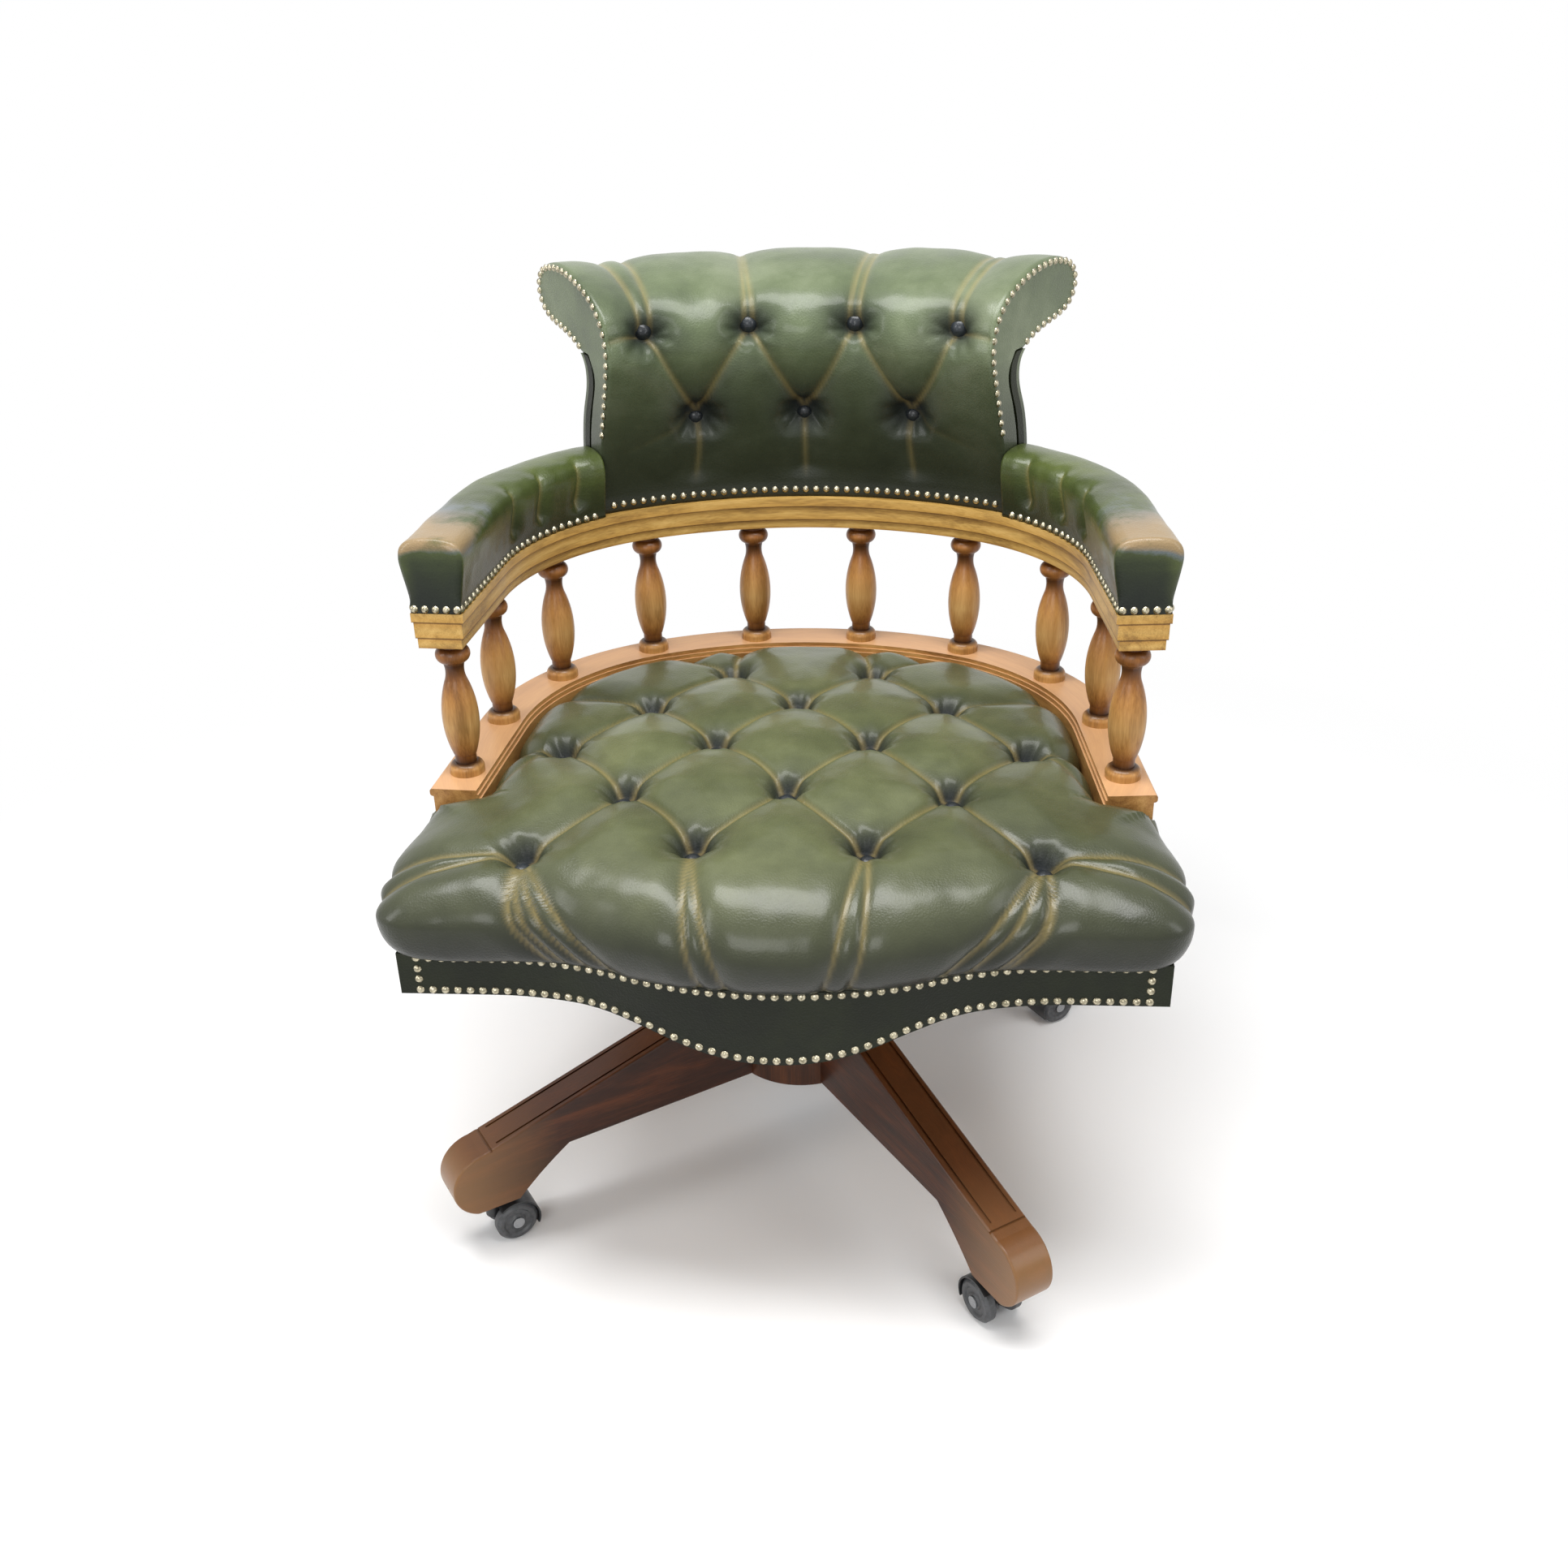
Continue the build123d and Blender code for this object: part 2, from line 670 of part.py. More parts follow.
def pin_hole(radius, extra):
    """A cylinder along the tilt axis that runs past the cradle."""
    place = Plane(origin=(0, pin_y, pin_z), x_dir=(0, 1, 0), z_dir=(1, 0, 0))
    return extrude(place * Circle(radius + extra), cradle_half_width + overrun, both=True)


def pivot_pin():
    place = Plane(origin=(0, pin_y, pin_z), x_dir=(0, 1, 0), z_dir=(1, 0, 0))
    pin = extrude(place * Circle(pin_radius), cradle_half_width, both=True)
    heads = extrude(place * Circle(pin_head_radius), cradle_half_width + pin_head_height, both=True)
    return pin + (heads - extrude(place * Circle(pin_head_radius + overrun), cradle_half_width, both=True))


def tilt_plate():
    """Plate under the seat board with two lugs on the tilt pin."""
    place = Plane(origin=(0, (plate_front_y + plate_rear_y) / 2, tilt_plate_bottom))
    plan = RectangleRounded(2 * plate_half_width, plate_rear_y - plate_front_y, plate_corner)
    body = extrude(place * plan, plate_sheet)
    lug = Pos(pin_y, pin_z) * Circle(lug_radius)
    lug = lug + make_face(Polyline(
        (pin_y - lug_radius, pin_z), (pin_y + lug_radius, pin_z),
        (pin_y + lug_radius, board_bottom), (pin_y - lug_radius, board_bottom), close=True))
    outer = cradle_half_width - cradle_sheet - lug_gap
    for x in (-outer, outer - plate_sheet):
        side = Plane(origin=(x, 0, 0), x_dir=(0, 1, 0), z_dir=(1, 0, 0))
        body = body + extrude(side * lug, plate_sheet)
    body = body - pin_hole(pin_radius, turn_gap)
    body = body - cylinder(bolt_radius, tilt_plate_bottom - overrun, plate_sheet + 2 * overrun, 0, bolt_y)
    for x, y in plate_bolt_places():
        body = body - cylinder(plate_bolt_radius, tilt_plate_bottom - overrun, plate_sheet + 2 * overrun, x, y)
    return body


def plate_bolt_places():
    return [(x, y) for x in (-plate_bolt_x, plate_bolt_x) for y in (plate_bolt_front_y, plate_bolt_rear_y)]


def plate_bolts():
    bolt = cylinder(plate_bolt_radius, tilt_plate_bottom, plate_sheet + plate_bolt_grip)
    bolt = bolt + cylinder(plate_bolt_head_radius, tilt_plate_bottom - plate_bolt_head_height,
                           plate_bolt_head_height)
    return group([Pos(x, y, 0) * bolt for x, y in plate_bolt_places()])


def tension_bolt():
    shank = cylinder(bolt_radius, bolt_bottom, board_bottom - bolt_bottom, 0, bolt_y)
    return shank + cylinder(bolt_head_radius, board_bottom, bolt_head_height, 0, bolt_y)


def spring_cup():
    bore = bolt_radius + turn_gap
    body = cylinder(cup_radius, cup_bottom, cup_sheet + cup_rim, 0, bolt_y)
    body = body - cylinder(cup_radius - cup_rim_width, cup_top, cup_rim + overrun, 0, bolt_y)
    return body - cylinder(bore, cup_bottom - overrun, cup_sheet + 2 * overrun, 0, bolt_y)


def tension_knob():
    """Hand nut under the spring cup."""
    body = cylinder(knob_radius, knob_bottom, knob_height, 0, bolt_y)
    for number in range(knob_grips):
        x, y = leg_place(360 / knob_grips * number, knob_radius)
        body = body - cylinder(knob_grip_radius, knob_bottom - overrun, knob_height + 2 * overrun, x, y + bolt_y)
    return body - cylinder(bolt_radius + turn_gap, knob_bottom - overrun, knob_height + 2 * overrun, 0, bolt_y)


def spring_point(turn):
    """A point of the spring's centre line, by the number of turns from its lower end."""
    rise = (cradle_under - cup_top - 2 * spring_wire) / spring_turns
    angle = 2 * radians(180) * turn
    return Vector(spring_radius * cos(angle), bolt_y + spring_radius * sin(angle),
                  cup_top + spring_wire + rise * turn)


def tension_spring():
    """Coil spring: one tube swept on arcs of a quarter turn."""
    arcs = [ThreePointArc(spring_point(k / 4), spring_point(k / 4 + 1 / 8), spring_point((k + 1) / 4))
            for k in range(4 * spring_turns)]
    path = Wire(arcs)
    start = Plane(origin=path @ 0, z_dir=path % 0)
    tube = sweep(start * Circle(spring_wire), path=path)
    gap = min((spring_point(k / 8) - spring_point(k / 8 + 1)).length for k in range(8 * spring_turns - 8))
    print("tension spring: least gap between its turns", round(gap - 2 * spring_wire, 2), "mm")
    return tube.solid()


# Seat structure

def plan_face(inner, outer, front_y):
    """The horseshoe band between two offsets of the centre line, as a flat face."""
    ends = [Line(side_point(front_y, inner), side_point(front_y, outer)),
            Line(mirrored(side_point(front_y, outer)), mirrored(side_point(front_y, inner)))]
    return make_face(horseshoe(outer, front_y).edges() + horseshoe(inner, front_y).edges() + ends)


def serpentine(forward, half_width):
    """Front line of the apron in plan, from right to left, moved forward by the given amount."""
    bow, hollow = apron_bow_radius + forward, apron_hollow_radius - forward
    ends_y = apron_ends_y - forward
    joint = (bow * sin(bow_turn), bow_centre_y - bow * cos(bow_turn))
    mid = (hollow_x - hollow * sin(bow_turn / 2), hollow_y + hollow * cos(bow_turn / 2))
    shoulder = (hollow_x, ends_y)
    return [
        Line((half_width, ends_y), shoulder),
        ThreePointArc(shoulder, mid, joint),
        ThreePointArc(joint, (0, bow_centre_y - bow), mirrored(joint)),
        ThreePointArc(mirrored(joint), mirrored(mid), mirrored(shoulder)),
        Line(mirrored(shoulder), (-half_width, ends_y)),
    ]


def seat_board():
    """Plywood board under the frame, with the pocket for the tension bolt's head."""
    offset = frame_outer - board_margin
    front = frame_front_y + board_margin
    face = make_face(horseshoe(offset, front).edges()
                     + [Line(mirrored(side_point(front, offset)), side_point(front, offset))])
    body = extrude(Pos(0, 0, board_bottom) * face, board_thickness, dir=(0, 0, 1))
    body = body - cylinder(bolt_head_radius, board_bottom - overrun, bolt_head_height + overrun, 0, bolt_y)
    for x, y in plate_bolt_places():
        body = body - cylinder(plate_bolt_radius, board_bottom - overrun, plate_bolt_grip + overrun, x, y)
    return body


def seat_frame():
    """Wooden frame under the rail: the horseshoe and a shaped front rail."""
    body = extrude(Pos(0, 0, frame_bottom) * plan_face(-frame_inner, frame_outer, frame_front_y),
                   frame_height, dir=(0, 0, 1))
    width = side_point(frame_front_y, -frame_inner)[0] + overrun
    front = serpentine(-apron_thickness, width)
    back_y = frame_front_y + front_rail_width
    face = make_face(front + [Line((-width, frame_front_y), (-width, back_y)),
                              Line((-width, back_y), (width, back_y)),
                              Line((width, back_y), (width, frame_front_y))])
    return body + extrude(Pos(0, 0, frame_bottom) * face, frame_height, dir=(0, 0, 1))


def rail_section():
    """Section of the seat rail: overhanging cap and two small steps along the inner edge."""
    half = rail_width / 2
    face = make_face(Polyline(
        (-half, 0), (half - cap_overhang, 0),
        (half - cap_overhang, rail_height - cap_thickness), (half, rail_height - cap_thickness),
        (half, rail_height), (2 * bead_depth - half, rail_height),
        (2 * bead_depth - half, rail_height - bead_height),
        (bead_depth - half, rail_height - bead_height),
        (bead_depth - half, rail_height - 2 * bead_height),
        (-half, rail_height - 2 * bead_height), close=True))
    corners = [v for v in face.vertices() if v.X > half - turn_gap]
    return fillet(corners, cap_round)


def tenon_holes(bottom, height):
    return [cylinder(tenon_radius, bottom, height, x, y) for _, _, (x, y) in spindle_places()]


def seat_rail():
    body = moulded(rail_section(), 0, rail_front_y, frame_top)
    for hole in tenon_holes(rail_top - tenon_length, tenon_length + overrun):
        body = body - hole
    return body


def apron():
    """Leather-covered front board with a dropped middle, and the bands along both sides."""
    width = apron_half_width
    front, back = serpentine(0, width), serpentine(-apron_thickness, width)
    plan = make_face(front + back + [
        Line((width, apron_ends_y), (width, frame_front_y)),
        Line((-width, apron_ends_y), (-width, frame_front_y))])
    board = extrude(Pos(0, 0, frame_bottom - apron_drop) * plan, frame_height + apron_drop, dir=(0, 0, 1))
    convex = apron_drop * apron_drop_half / apron_drop_end
    low = frame_bottom - apron_drop
    join = (apron_drop_half, low + convex)
    mid = ((apron_drop_half + apron_drop_end) / 2, frame_bottom - (apron_drop - convex) / 4)
    end = (apron_drop_end, frame_bottom)
    far = (width + overrun, frame_bottom)
    top = (width + overrun, frame_top + overrun)
    shape = make_face([
        ThreePointArc(mirrored(join), (0, low), join), ThreePointArc(join, mid, end),
        Line(end, far), Line(far, top), Line(top, mirrored(top)), Line(mirrored(top), mirrored(far)),
        Line(mirrored(far), mirrored(end)), ThreePointArc(mirrored(end), mirrored(mid), mirrored(join))])
    depth = -apron_middle_y + overrun
    body = board & extrude(Plane.XZ * shape, depth)
    band = plan_face(frame_outer, frame_outer + side_band, frame_front_y)
    band = extrude(Pos(0, 0, frame_bottom) * band, frame_height, dir=(0, 0, 1))
    reach = apron_half_width + overrun
    for left, right in ((-reach, 0), (0, reach)):
        body = body + (band & block(left, right, frame_front_y, rail_front_y,
                                    frame_bottom - overrun, frame_top + overrun))
    return body


# Spindles and arm bow

def spindle():
    """Turned spindle: foot ring, neck, belly, waist, bead and flared head, with its two tenons."""
    ring, foot, step, belly, belly_top, waist, waist_top, bead, throat, head = [
        share * spindle_height for share in spindle_height_shares]
    neck_r, waist_r, bead_r, throat_r, head_r = [
        share * spindle_radius for share in (neck_share, waist_share, bead_share, throat_share, head_share)]
    foot_r = spindle_foot_radius
    top, low, high = spindle_height, -tenon_length, spindle_height + tenon_length
    return turned_edges([
        Line((0, low), (tenon_radius, low)),
        Line((tenon_radius, low), (tenon_radius, 0)),
        Line((tenon_radius, 0), (foot_r, 0)),
        Line((foot_r, 0), (foot_r, ring / 2)),
        ThreePointArc((foot_r, ring / 2), (neck_r + (foot_r - neck_r) * ring_share, ring), (neck_r, foot)),
        Line((neck_r, foot), (neck_r, step)),
        Line((neck_r, step), (throat_r, step)),
        ThreePointArc((throat_r, step), (spindle_radius, belly), (neck_r, belly_top)),
        ThreePointArc((neck_r, belly_top), (waist_r, waist), (neck_r, waist_top)),
        ThreePointArc((neck_r, waist_top), (bead_r, bead), (throat_r, throat)),
        Line((throat_r, throat), (throat_r, head)),
        Line((throat_r, head), (head_r, top)),
        Line((head_r, top), (tenon_radius, top)),
        Line((tenon_radius, top), (tenon_radius, high)),
        Line((tenon_radius, high), (0, high)),
        Line((0, high), (0, low)),
    ])


def bow_section():
    """Section of the arm bow: two steps down from the widest top band."""
    outline = []
    for side in (1, -1):
        half = side * bow_width / 2
        steps = [(half, bow_thickness), (half, bow_thickness - bow_upper_band),
                 (half - side * bow_step, bow_thickness - bow_upper_band),
                 (half - side * bow_step, bow_lower_band), (half - 2 * side * bow_step, bow_lower_band),
                 (half - 2 * side * bow_step, 0)]
        outline += steps if side == 1 else steps[::-1]
    return make_face(Polyline(*outline, close=True))


def arm_bow():
    body = moulded(bow_section(), bow_offset, arm_front_y, bow_bottom)
    for hole in tenon_holes(bow_bottom - overrun, tenon_length + overrun):
        body = body - hole
    return body


def pad_section():
    """Section of an arm pad: upright hem for the nails, full sides and a rounded top."""
    foot = bow_width / 2 - pad_draw
    belly = bow_width / 2 + pad_bulge
    shoulder = belly - pad_shoulder_draw
    face = make_face([
        Line((-foot, 0), (foot, 0)), Line((foot, 0), (foot, pad_hem)),
        ThreePointArc((foot, pad_hem), (belly, pad_belly), (shoulder, pad_shoulder)),
        ThreePointArc((shoulder, pad_shoulder), (0, pad_height), (-shoulder, pad_shoulder)),
        ThreePointArc((-shoulder, pad_shoulder), (-belly, pad_belly), (-foot, pad_hem)),
        Line((-foot, pad_hem), (-foot, 0)),
    ])
    corners = [v for v in face.vertices() if abs(v.Y - pad_shoulder) < turn_gap]
    return fillet(corners, pad_round)


def back_wedge(extra):
    """Sector that the back fills in plan, widened by the given angle."""
    half = back_half_angle + extra
    reach = rear_radius + back_reach + overrun
    side = (reach * tan(radians(half)), rear_centre_y + reach)
    plan = make_face(Polyline((0, rear_centre_y), side, mirrored(side), close=True))
    return extrude(Pos(0, 0, bow_bottom) * plan, back_top - bow_bottom + overrun, dir=(0, 0, 1))


def arm_pads():
    """Left and right arm pad, cut at the back's end faces and pleated on the inner side."""
    body = moulded(pad_section(), bow_offset, arm_front_y, bow_top)
    body = body - back_wedge(degrees(leather_gap / rear_radius))
    fronts = [e for e in body.edges() if abs(e.center().Y - arm_front_y) < turn_gap
              and e.center().Z > bow_top + pad_hem + turn_gap]
    body = fillet(fronts, pad_front_round)
    belly = bow_width / 2 + pad_bulge
    low_offset = bow_offset - belly + pleat_depth
    high_offset = bow_offset - belly + pad_shoulder_draw + pleat_depth / 2
    for side in (1, -1):
        for number in range(pleats_per_arm):
            angle = pleat_angle_first + pleat_angle_pitch * number
            foot, tip = corner_point(angle, low_offset), corner_point(angle, high_offset)
            low = Vector(side * foot[0], foot[1], bow_top + pad_hem)
            high = Vector(side * tip[0], tip[1], bow_top + pad_height - pleat_depth / 2)
            outward = Vector(-side * sin(radians(angle)), -cos(radians(angle)), 0)
            body = body - channel(low, high, outward, pleat_width, pleat_depth)
    solids = body.solids().sort_by(Axis.X)
    return solids[0], solids[-1]


def channel(start, end, outward, width, depth):
    """V-shaped cut with its bottom along the line from start to end, open towards outward."""
    along = (end - start).normalized()
    across = outward.cross(along).normalized()
    plane = Plane(origin=start, x_dir=across, z_dir=along)
    rise = depth + overrun
    half = width / 2 * rise / depth
    face = plane * make_face(Polyline((0, 0), (half, rise), (-half, rise), close=True))
    return extrude(face, (end - start).length, dir=along)


def bell(radius, depth):
    """Tuft cut: a flat for the button and a side that rounds over to the leather's surface."""
    foot = button_radius + pit_clearance
    turn = radians(45)
    mid = (radius - (radius - foot) * cos(turn), depth * sin(turn))
    top = depth + 2 * overrun
    return turned_edges([
        Line((0, 0), (foot, 0)), ThreePointArc((foot, 0), mid, (radius, depth)),
        Line((radius, depth), (radius, top)), Line((radius, top), (0, top)), Line((0, top), (0, 0))])


def dome(radius, height):
    """Low round head, flat underneath."""
    sphere = (radius ** 2 + height ** 2) / (2 * height)
    half = asin(radius / sphere) / 2
    mid = (sphere * sin(half), height - sphere + sphere * cos(half))
    return turned_edges([
        Line((0, 0), (radius, 0)), ThreePointArc((radius, 0), mid, (0, height)), Line((0, height), (0, 0))])


# Back

def back_points(shares, inwards):
    """Points of the back's side view, as (radius, height), moved towards the front."""
    return [(rear_radius + u * back_reach - inwards, bow_top + v * back_height) for u, v in shares]


def bent(face):
    """Turn a side-view face round the back's axis, from one end face to the other."""
    turn = radians(back_half_angle)
    plane = Plane(origin=(0, rear_centre_y, 0), x_dir=(sin(turn), cos(turn), 0),
                  z_dir=(cos(turn), -sin(turn), 0))
    return revolve(plane * face, axis=rear_axis, revolution_arc=2 * back_half_angle)


def back_layer(inwards, thickness):
    outer = back_points(back_rear_shares, inwards)
    inner = back_points(back_rear_shares, inwards + thickness)
    return bent(make_face([Spline(*outer), Line(outer[-1], inner[-1]), Spline(*inner), Line(inner[0], outer[0])]))


def back_button_places():
    """Pits of the back's buttons: outward direction and place, upper row first."""
    rows = [(back_upper_z, back_upper_reach, (-1.5, -0.5, 0.5, 1.5)), (back_lower_z, back_lower_reach, (-1, 0, 1))]
    places = []
    for z, reach, steps in rows:
        radius = rear_radius + reach + back_tuft_depth
        for step in steps:
            turn = radians(step * back_button_turn)
            outward = Vector(-sin(turn), -cos(turn), 0)
            places.append((step, z, outward, Vector(0, rear_centre_y, z) - outward * radius))
    return places


def back_cushion():
    """Stuffed front of the back and its scroll, with seven tufts and the folds between them."""
    inset = cover_thickness + back_board_thickness
    front = back_points(back_front_shares, 0)
    core = back_points(back_rear_shares, inset)
    hem = (front[-1][0], bow_top)
    body = bent(make_face([Spline(*front), Line(front[-1], hem), Line(hem, core[0]), Spline(*core),
                           Line(core[-1], front[0])]))
    places = back_button_places()
    for step, z, outward, point in places:
        pit = Plane(origin=point, x_dir=(0, 0, 1), z_dir=outward) * bell(back_tuft_radius, back_tuft_depth)
        body = body - pit
    for step, z, outward, point in places:
        for step2, z2, outward2, point2 in places:
            if z > z2 and abs(step - step2) < 1:
                lift = back_tuft_depth - channel_depth
                start, end = point + outward * lift, point2 + outward2 * lift
                body = body - channel(start, end, outward, channel_width, channel_depth)
    return body


# Seat cushion

def dome_z(x, y):
    """Height of the cushion's crown surface."""
    return cushion_crown - dome_radius + sqrt(dome_radius ** 2 - x ** 2 - (y - dome_y) ** 2)


def seat_button_places():
    places = []
    for row, steps in enumerate([(-1.5, -0.5, 0.5, 1.5), (-1, 0, 1), (-1.5, -0.5, 0.5, 1.5), (-1, 0, 1),
                                 (-0.5, 0.5)]):
        for step in steps:
            places.append((row, step, step * seat_button_pitch, seat_row_front + row * seat_row_pitch))
    return places


def crown():
    """Everything under the cushion's crown surface."""
    return Pos(0, dome_y, cushion_crown - dome_radius) * Rot(90, 0, 0) * Sphere(dome_radius)


def cushion_rear():
    """The part of the cushion inside the seat rail."""
    offset = -rail_width / 2 - leather_gap
    front = seat_row_front
    face = make_face(horseshoe(offset, front).edges()
                     + [Line(mirrored(side_point(front, offset)), side_point(front, offset))])
    body = extrude(Pos(0, 0, cushion_bottom) * face, cushion_crown - cushion_bottom, dir=(0, 0, 1)) & crown()
    top = body.faces().sort_by(Axis.Z)[-1]
    edges = [e for e in top.outer_wire().edges() if e.center().Y > front + turn_gap]
    return fillet(edges, rear_round)


def cushion_front():
    """The wider part ahead of the rail, with its roll over the apron."""
    rear = rail_front_y - leather_gap - rail_width / 2 * sin(radians(flare_angle))
    width, inner = cushion_half_width, side_point(rear, rail_width / 2)[0]
    ends_y = apron_ends_y - cushion_bulge
    shoulder = inner + cushion_shoulder_share * (width - inner)
    corner = cushion_corner * (1 - cos(radians(45)))
    side = [
        Line((-inner, rear), (inner, rear)),
        ThreePointArc((inner, rear), (shoulder, cushion_shoulder_y),
                      (width, ends_y + cushion_corner)),
        ThreePointArc((width, ends_y + cushion_corner), (width - corner, ends_y + corner),
                      (width - cushion_corner, ends_y)),
        ThreePointArc((-width, ends_y + cushion_corner), (corner - width, ends_y + corner),
                      (cushion_corner - width, ends_y)),
        ThreePointArc((-inner, rear), (-shoulder, cushion_shoulder_y),
                      (-width, ends_y + cushion_corner)),
    ]
    face = make_face(side + serpentine(cushion_bulge, width - cushion_corner))
    body = extrude(Pos(0, 0, cushion_bottom) * face, cushion_crown - cushion_bottom, dir=(0, 0, 1)) & crown()
    top = body.faces().sort_by(Axis.Z)[-1]
    body = fillet(top.outer_wire().edges(), roll_round)
    under = body.faces().sort_by(Axis.Z)[0]
    edges = [e for e in under.outer_wire().edges() if e.center().Y < rear - turn_gap]
    return fillet(edges, roll_under)


def seat_cushion():
    """Buttoned cushion: crown, roll over the apron, 16 tufts, the folds between them and front pleats."""
    body = cushion_front() + cushion_rear()
    places = seat_button_places()
    for row, step, x, y in places:
        body = body - Pos(x, y, dome_z(x, y) - seat_tuft_depth) * bell(seat_tuft_radius, seat_tuft_depth)
    up = Vector(0, 0, 1)
    for row, step, x, y in places:
        start = Vector(x, y, dome_z(x, y) - channel_depth)
        for row2, step2, x2, y2 in places:
            if row2 == row + 1 and abs(step - step2) < 1:
                end = Vector(x2, y2, dome_z(x2, y2) - channel_depth)
                body = body - channel(start, end, up, channel_width, channel_depth)
        if row == 0:
            edge = apron_ends_y if abs(step) > 1 else bow_centre_y - apron_bow_radius
            end = Vector(x, edge, dome_z(x, edge) - roll_round)
            body = body - channel(start, end, up, channel_width, channel_depth)
    return body


def tufting_buttons():
    button = dome(button_radius, button_height)
    seat = [Pos(x, y, dome_z(x, y) - seat_tuft_depth) * button for _, _, x, y in seat_button_places()]
    back = [Plane(origin=point, x_dir=(0, 0, 1), z_dir=outward) * button
            for _, _, outward, point in back_button_places()]
    return group(seat + back)


# Nails

def front_place(distance):
    """Plan place and heading on the apron's front, by distance from its middle."""
    side = 1 if distance >= 0 else -1
    left = abs(distance)
    bow_length = apron_bow_radius * bow_turn
    hollow_length = apron_hollow_radius * bow_turn
    if left <= bow_length:
        turn = left / apron_bow_radius
        x, y = apron_bow_radius * sin(turn), bow_centre_y - apron_bow_radius * cos(turn)
    elif left <= bow_length + hollow_length:
        turn = bow_turn - (left - bow_length) / apron_hollow_radius
        x, y = hollow_x - apron_hollow_radius * sin(turn), hollow_y + apron_hollow_radius * cos(turn)
    else:
        turn = 0
        x, y = hollow_x + left - bow_length - hollow_length, apron_ends_y
    return side * x, y, side * sin(turn), -cos(turn)


def apron_edge(x):
    """Height of the apron's lower edge."""
    convex = apron_drop * apron_drop_half / apron_drop_end
    if abs(x) >= apron_drop_end:
        return frame_bottom
    if abs(x) > apron_drop_half:
        left = (apron_drop_end - abs(x)) / (apron_drop_end - apron_drop_half)
        return frame_bottom - (apron_drop - convex) * left ** 2
    return frame_bottom - apron_drop + convex * (x / apron_drop_half) ** 2


def nail(x, y, z, nx, ny):
    place = Plane(origin=(x + nx * nail_seat, y + ny * nail_seat, z), x_dir=(0, 0, 1), z_dir=(nx, ny, 0))
    return place.location * dome(nail_radius, nail_height)


def apron_nails():
    """Two rows along the apron, short upright rows at its ends, and two rows along each side."""
    nails = []
    count = floor((apron_half_width - nail_inset) / nail_pitch)
    for number in range(-count, count + 1):
        x, y, nx, ny = front_place(number * nail_pitch)
        if abs(x) < apron_half_width - nail_radius:
            nails.append(nail(x, y, nail_line_z, nx, ny))
            nails.append(nail(x, y, apron_edge(x) + nail_inset, nx, ny))
    end = front_place(count * nail_pitch)[0]
    for z in (nail_line_z - nail_pitch, frame_bottom + nail_inset + nail_pitch):
        for side in (-1, 1):
            nails.append(nail(side * end, apron_ends_y, z, 0, -1))
    y = frame_front_y + nail_pitch / 2
    while y < rail_front_y - nail_radius:
        x = side_point(y, frame_outer + side_band)[0]
        nx, ny = cos(radians(flare_angle)), sin(radians(flare_angle))
        for side in (-1, 1):
            for z in (nail_line_z, frame_bottom + nail_inset):
                nails.append(nail(side * x, y, z, side * nx, ny))
        y += nail_pitch
    return nails


def arm_nails():
    """Rows along both hems of each arm pad and across its front face."""
    nails = []
    z = bow_top + nail_inset
    foot = bow_width / 2 - pad_draw
    rear_length = rear_radius * radians(rear_half_angle)
    corner_length = side_radius * radians(side_end_angle - rear_half_angle)
    side_length = (corner_point(side_end_angle, 0)[1] - arm_front_y) / cos(radians(flare_angle))
    whole = rear_length + corner_length + side_length - nail_inset
    for outwards in (-1, 1):
        offset = bow_offset + outwards * foot
        distance = whole
        while distance > rear_length + nail_pitch:
            x, y = station_offset(distance, offset)
            angle = radians(station(distance)[1])
            if degrees(atan2(x, y - rear_centre_y)) > back_half_angle + degrees(nail_pitch / rear_radius) * 2 / 3:
                for side in (-1, 1):
                    nails.append(nail(side * x, y, z, side * outwards * sin(angle), outwards * cos(angle)))
            stretch = side_radius / (side_radius + offset) if distance < whole - side_length else 1
            distance -= nail_pitch * stretch
    middle = side_point(arm_front_y, bow_offset)[0]
    flare = radians(flare_angle)
    for number in range(-2, 3):
        across = number * nail_pitch * front_nail_share
        for side in (-1, 1):
            nails.append(nail(side * (middle + across * cos(flare)), arm_front_y + across * sin(flare), z,
                              side * sin(flare), -cos(flare)))
    return nails


def back_nails():
    """Rows along the back's lower edges, and round both of its end faces above the arm pads."""
    nails = []
    low = bow_top + nail_inset + nail_radius
    front = back_points(back_front_shares, 0)
    for radius, heading in ((front[-1][0], -1), (back_points(back_rear_shares, 0)[0][0], 1)):
        count = floor(2 * radians(back_half_angle) * radius / nail_pitch) - 1
        for number in range(count):
            turn = (number - (count - 1) / 2) * nail_pitch / radius
            nails.append(nail(radius * sin(turn), rear_centre_y + radius * cos(turn), low,
                              heading * sin(turn), heading * cos(turn)))
    curve = Spline(*front)
    count = floor(curve.length / nail_pitch)
    turn = radians(back_half_angle)
    for number in range(count):
        place, along = curve @ ((number + 0.5) / count), curve % ((number + 0.5) / count)
        radius, z = place.X - along.Y * nail_inset, place.Y + along.X * nail_inset
        if z > bow_top + pad_height + nail_pitch:
            for side in (-1, 1):
                nails.append(nail(side * radius * sin(turn), rear_centre_y + radius * cos(turn), z,
                                  side * cos(turn), -sin(turn)))
    return nails


# One file for each node

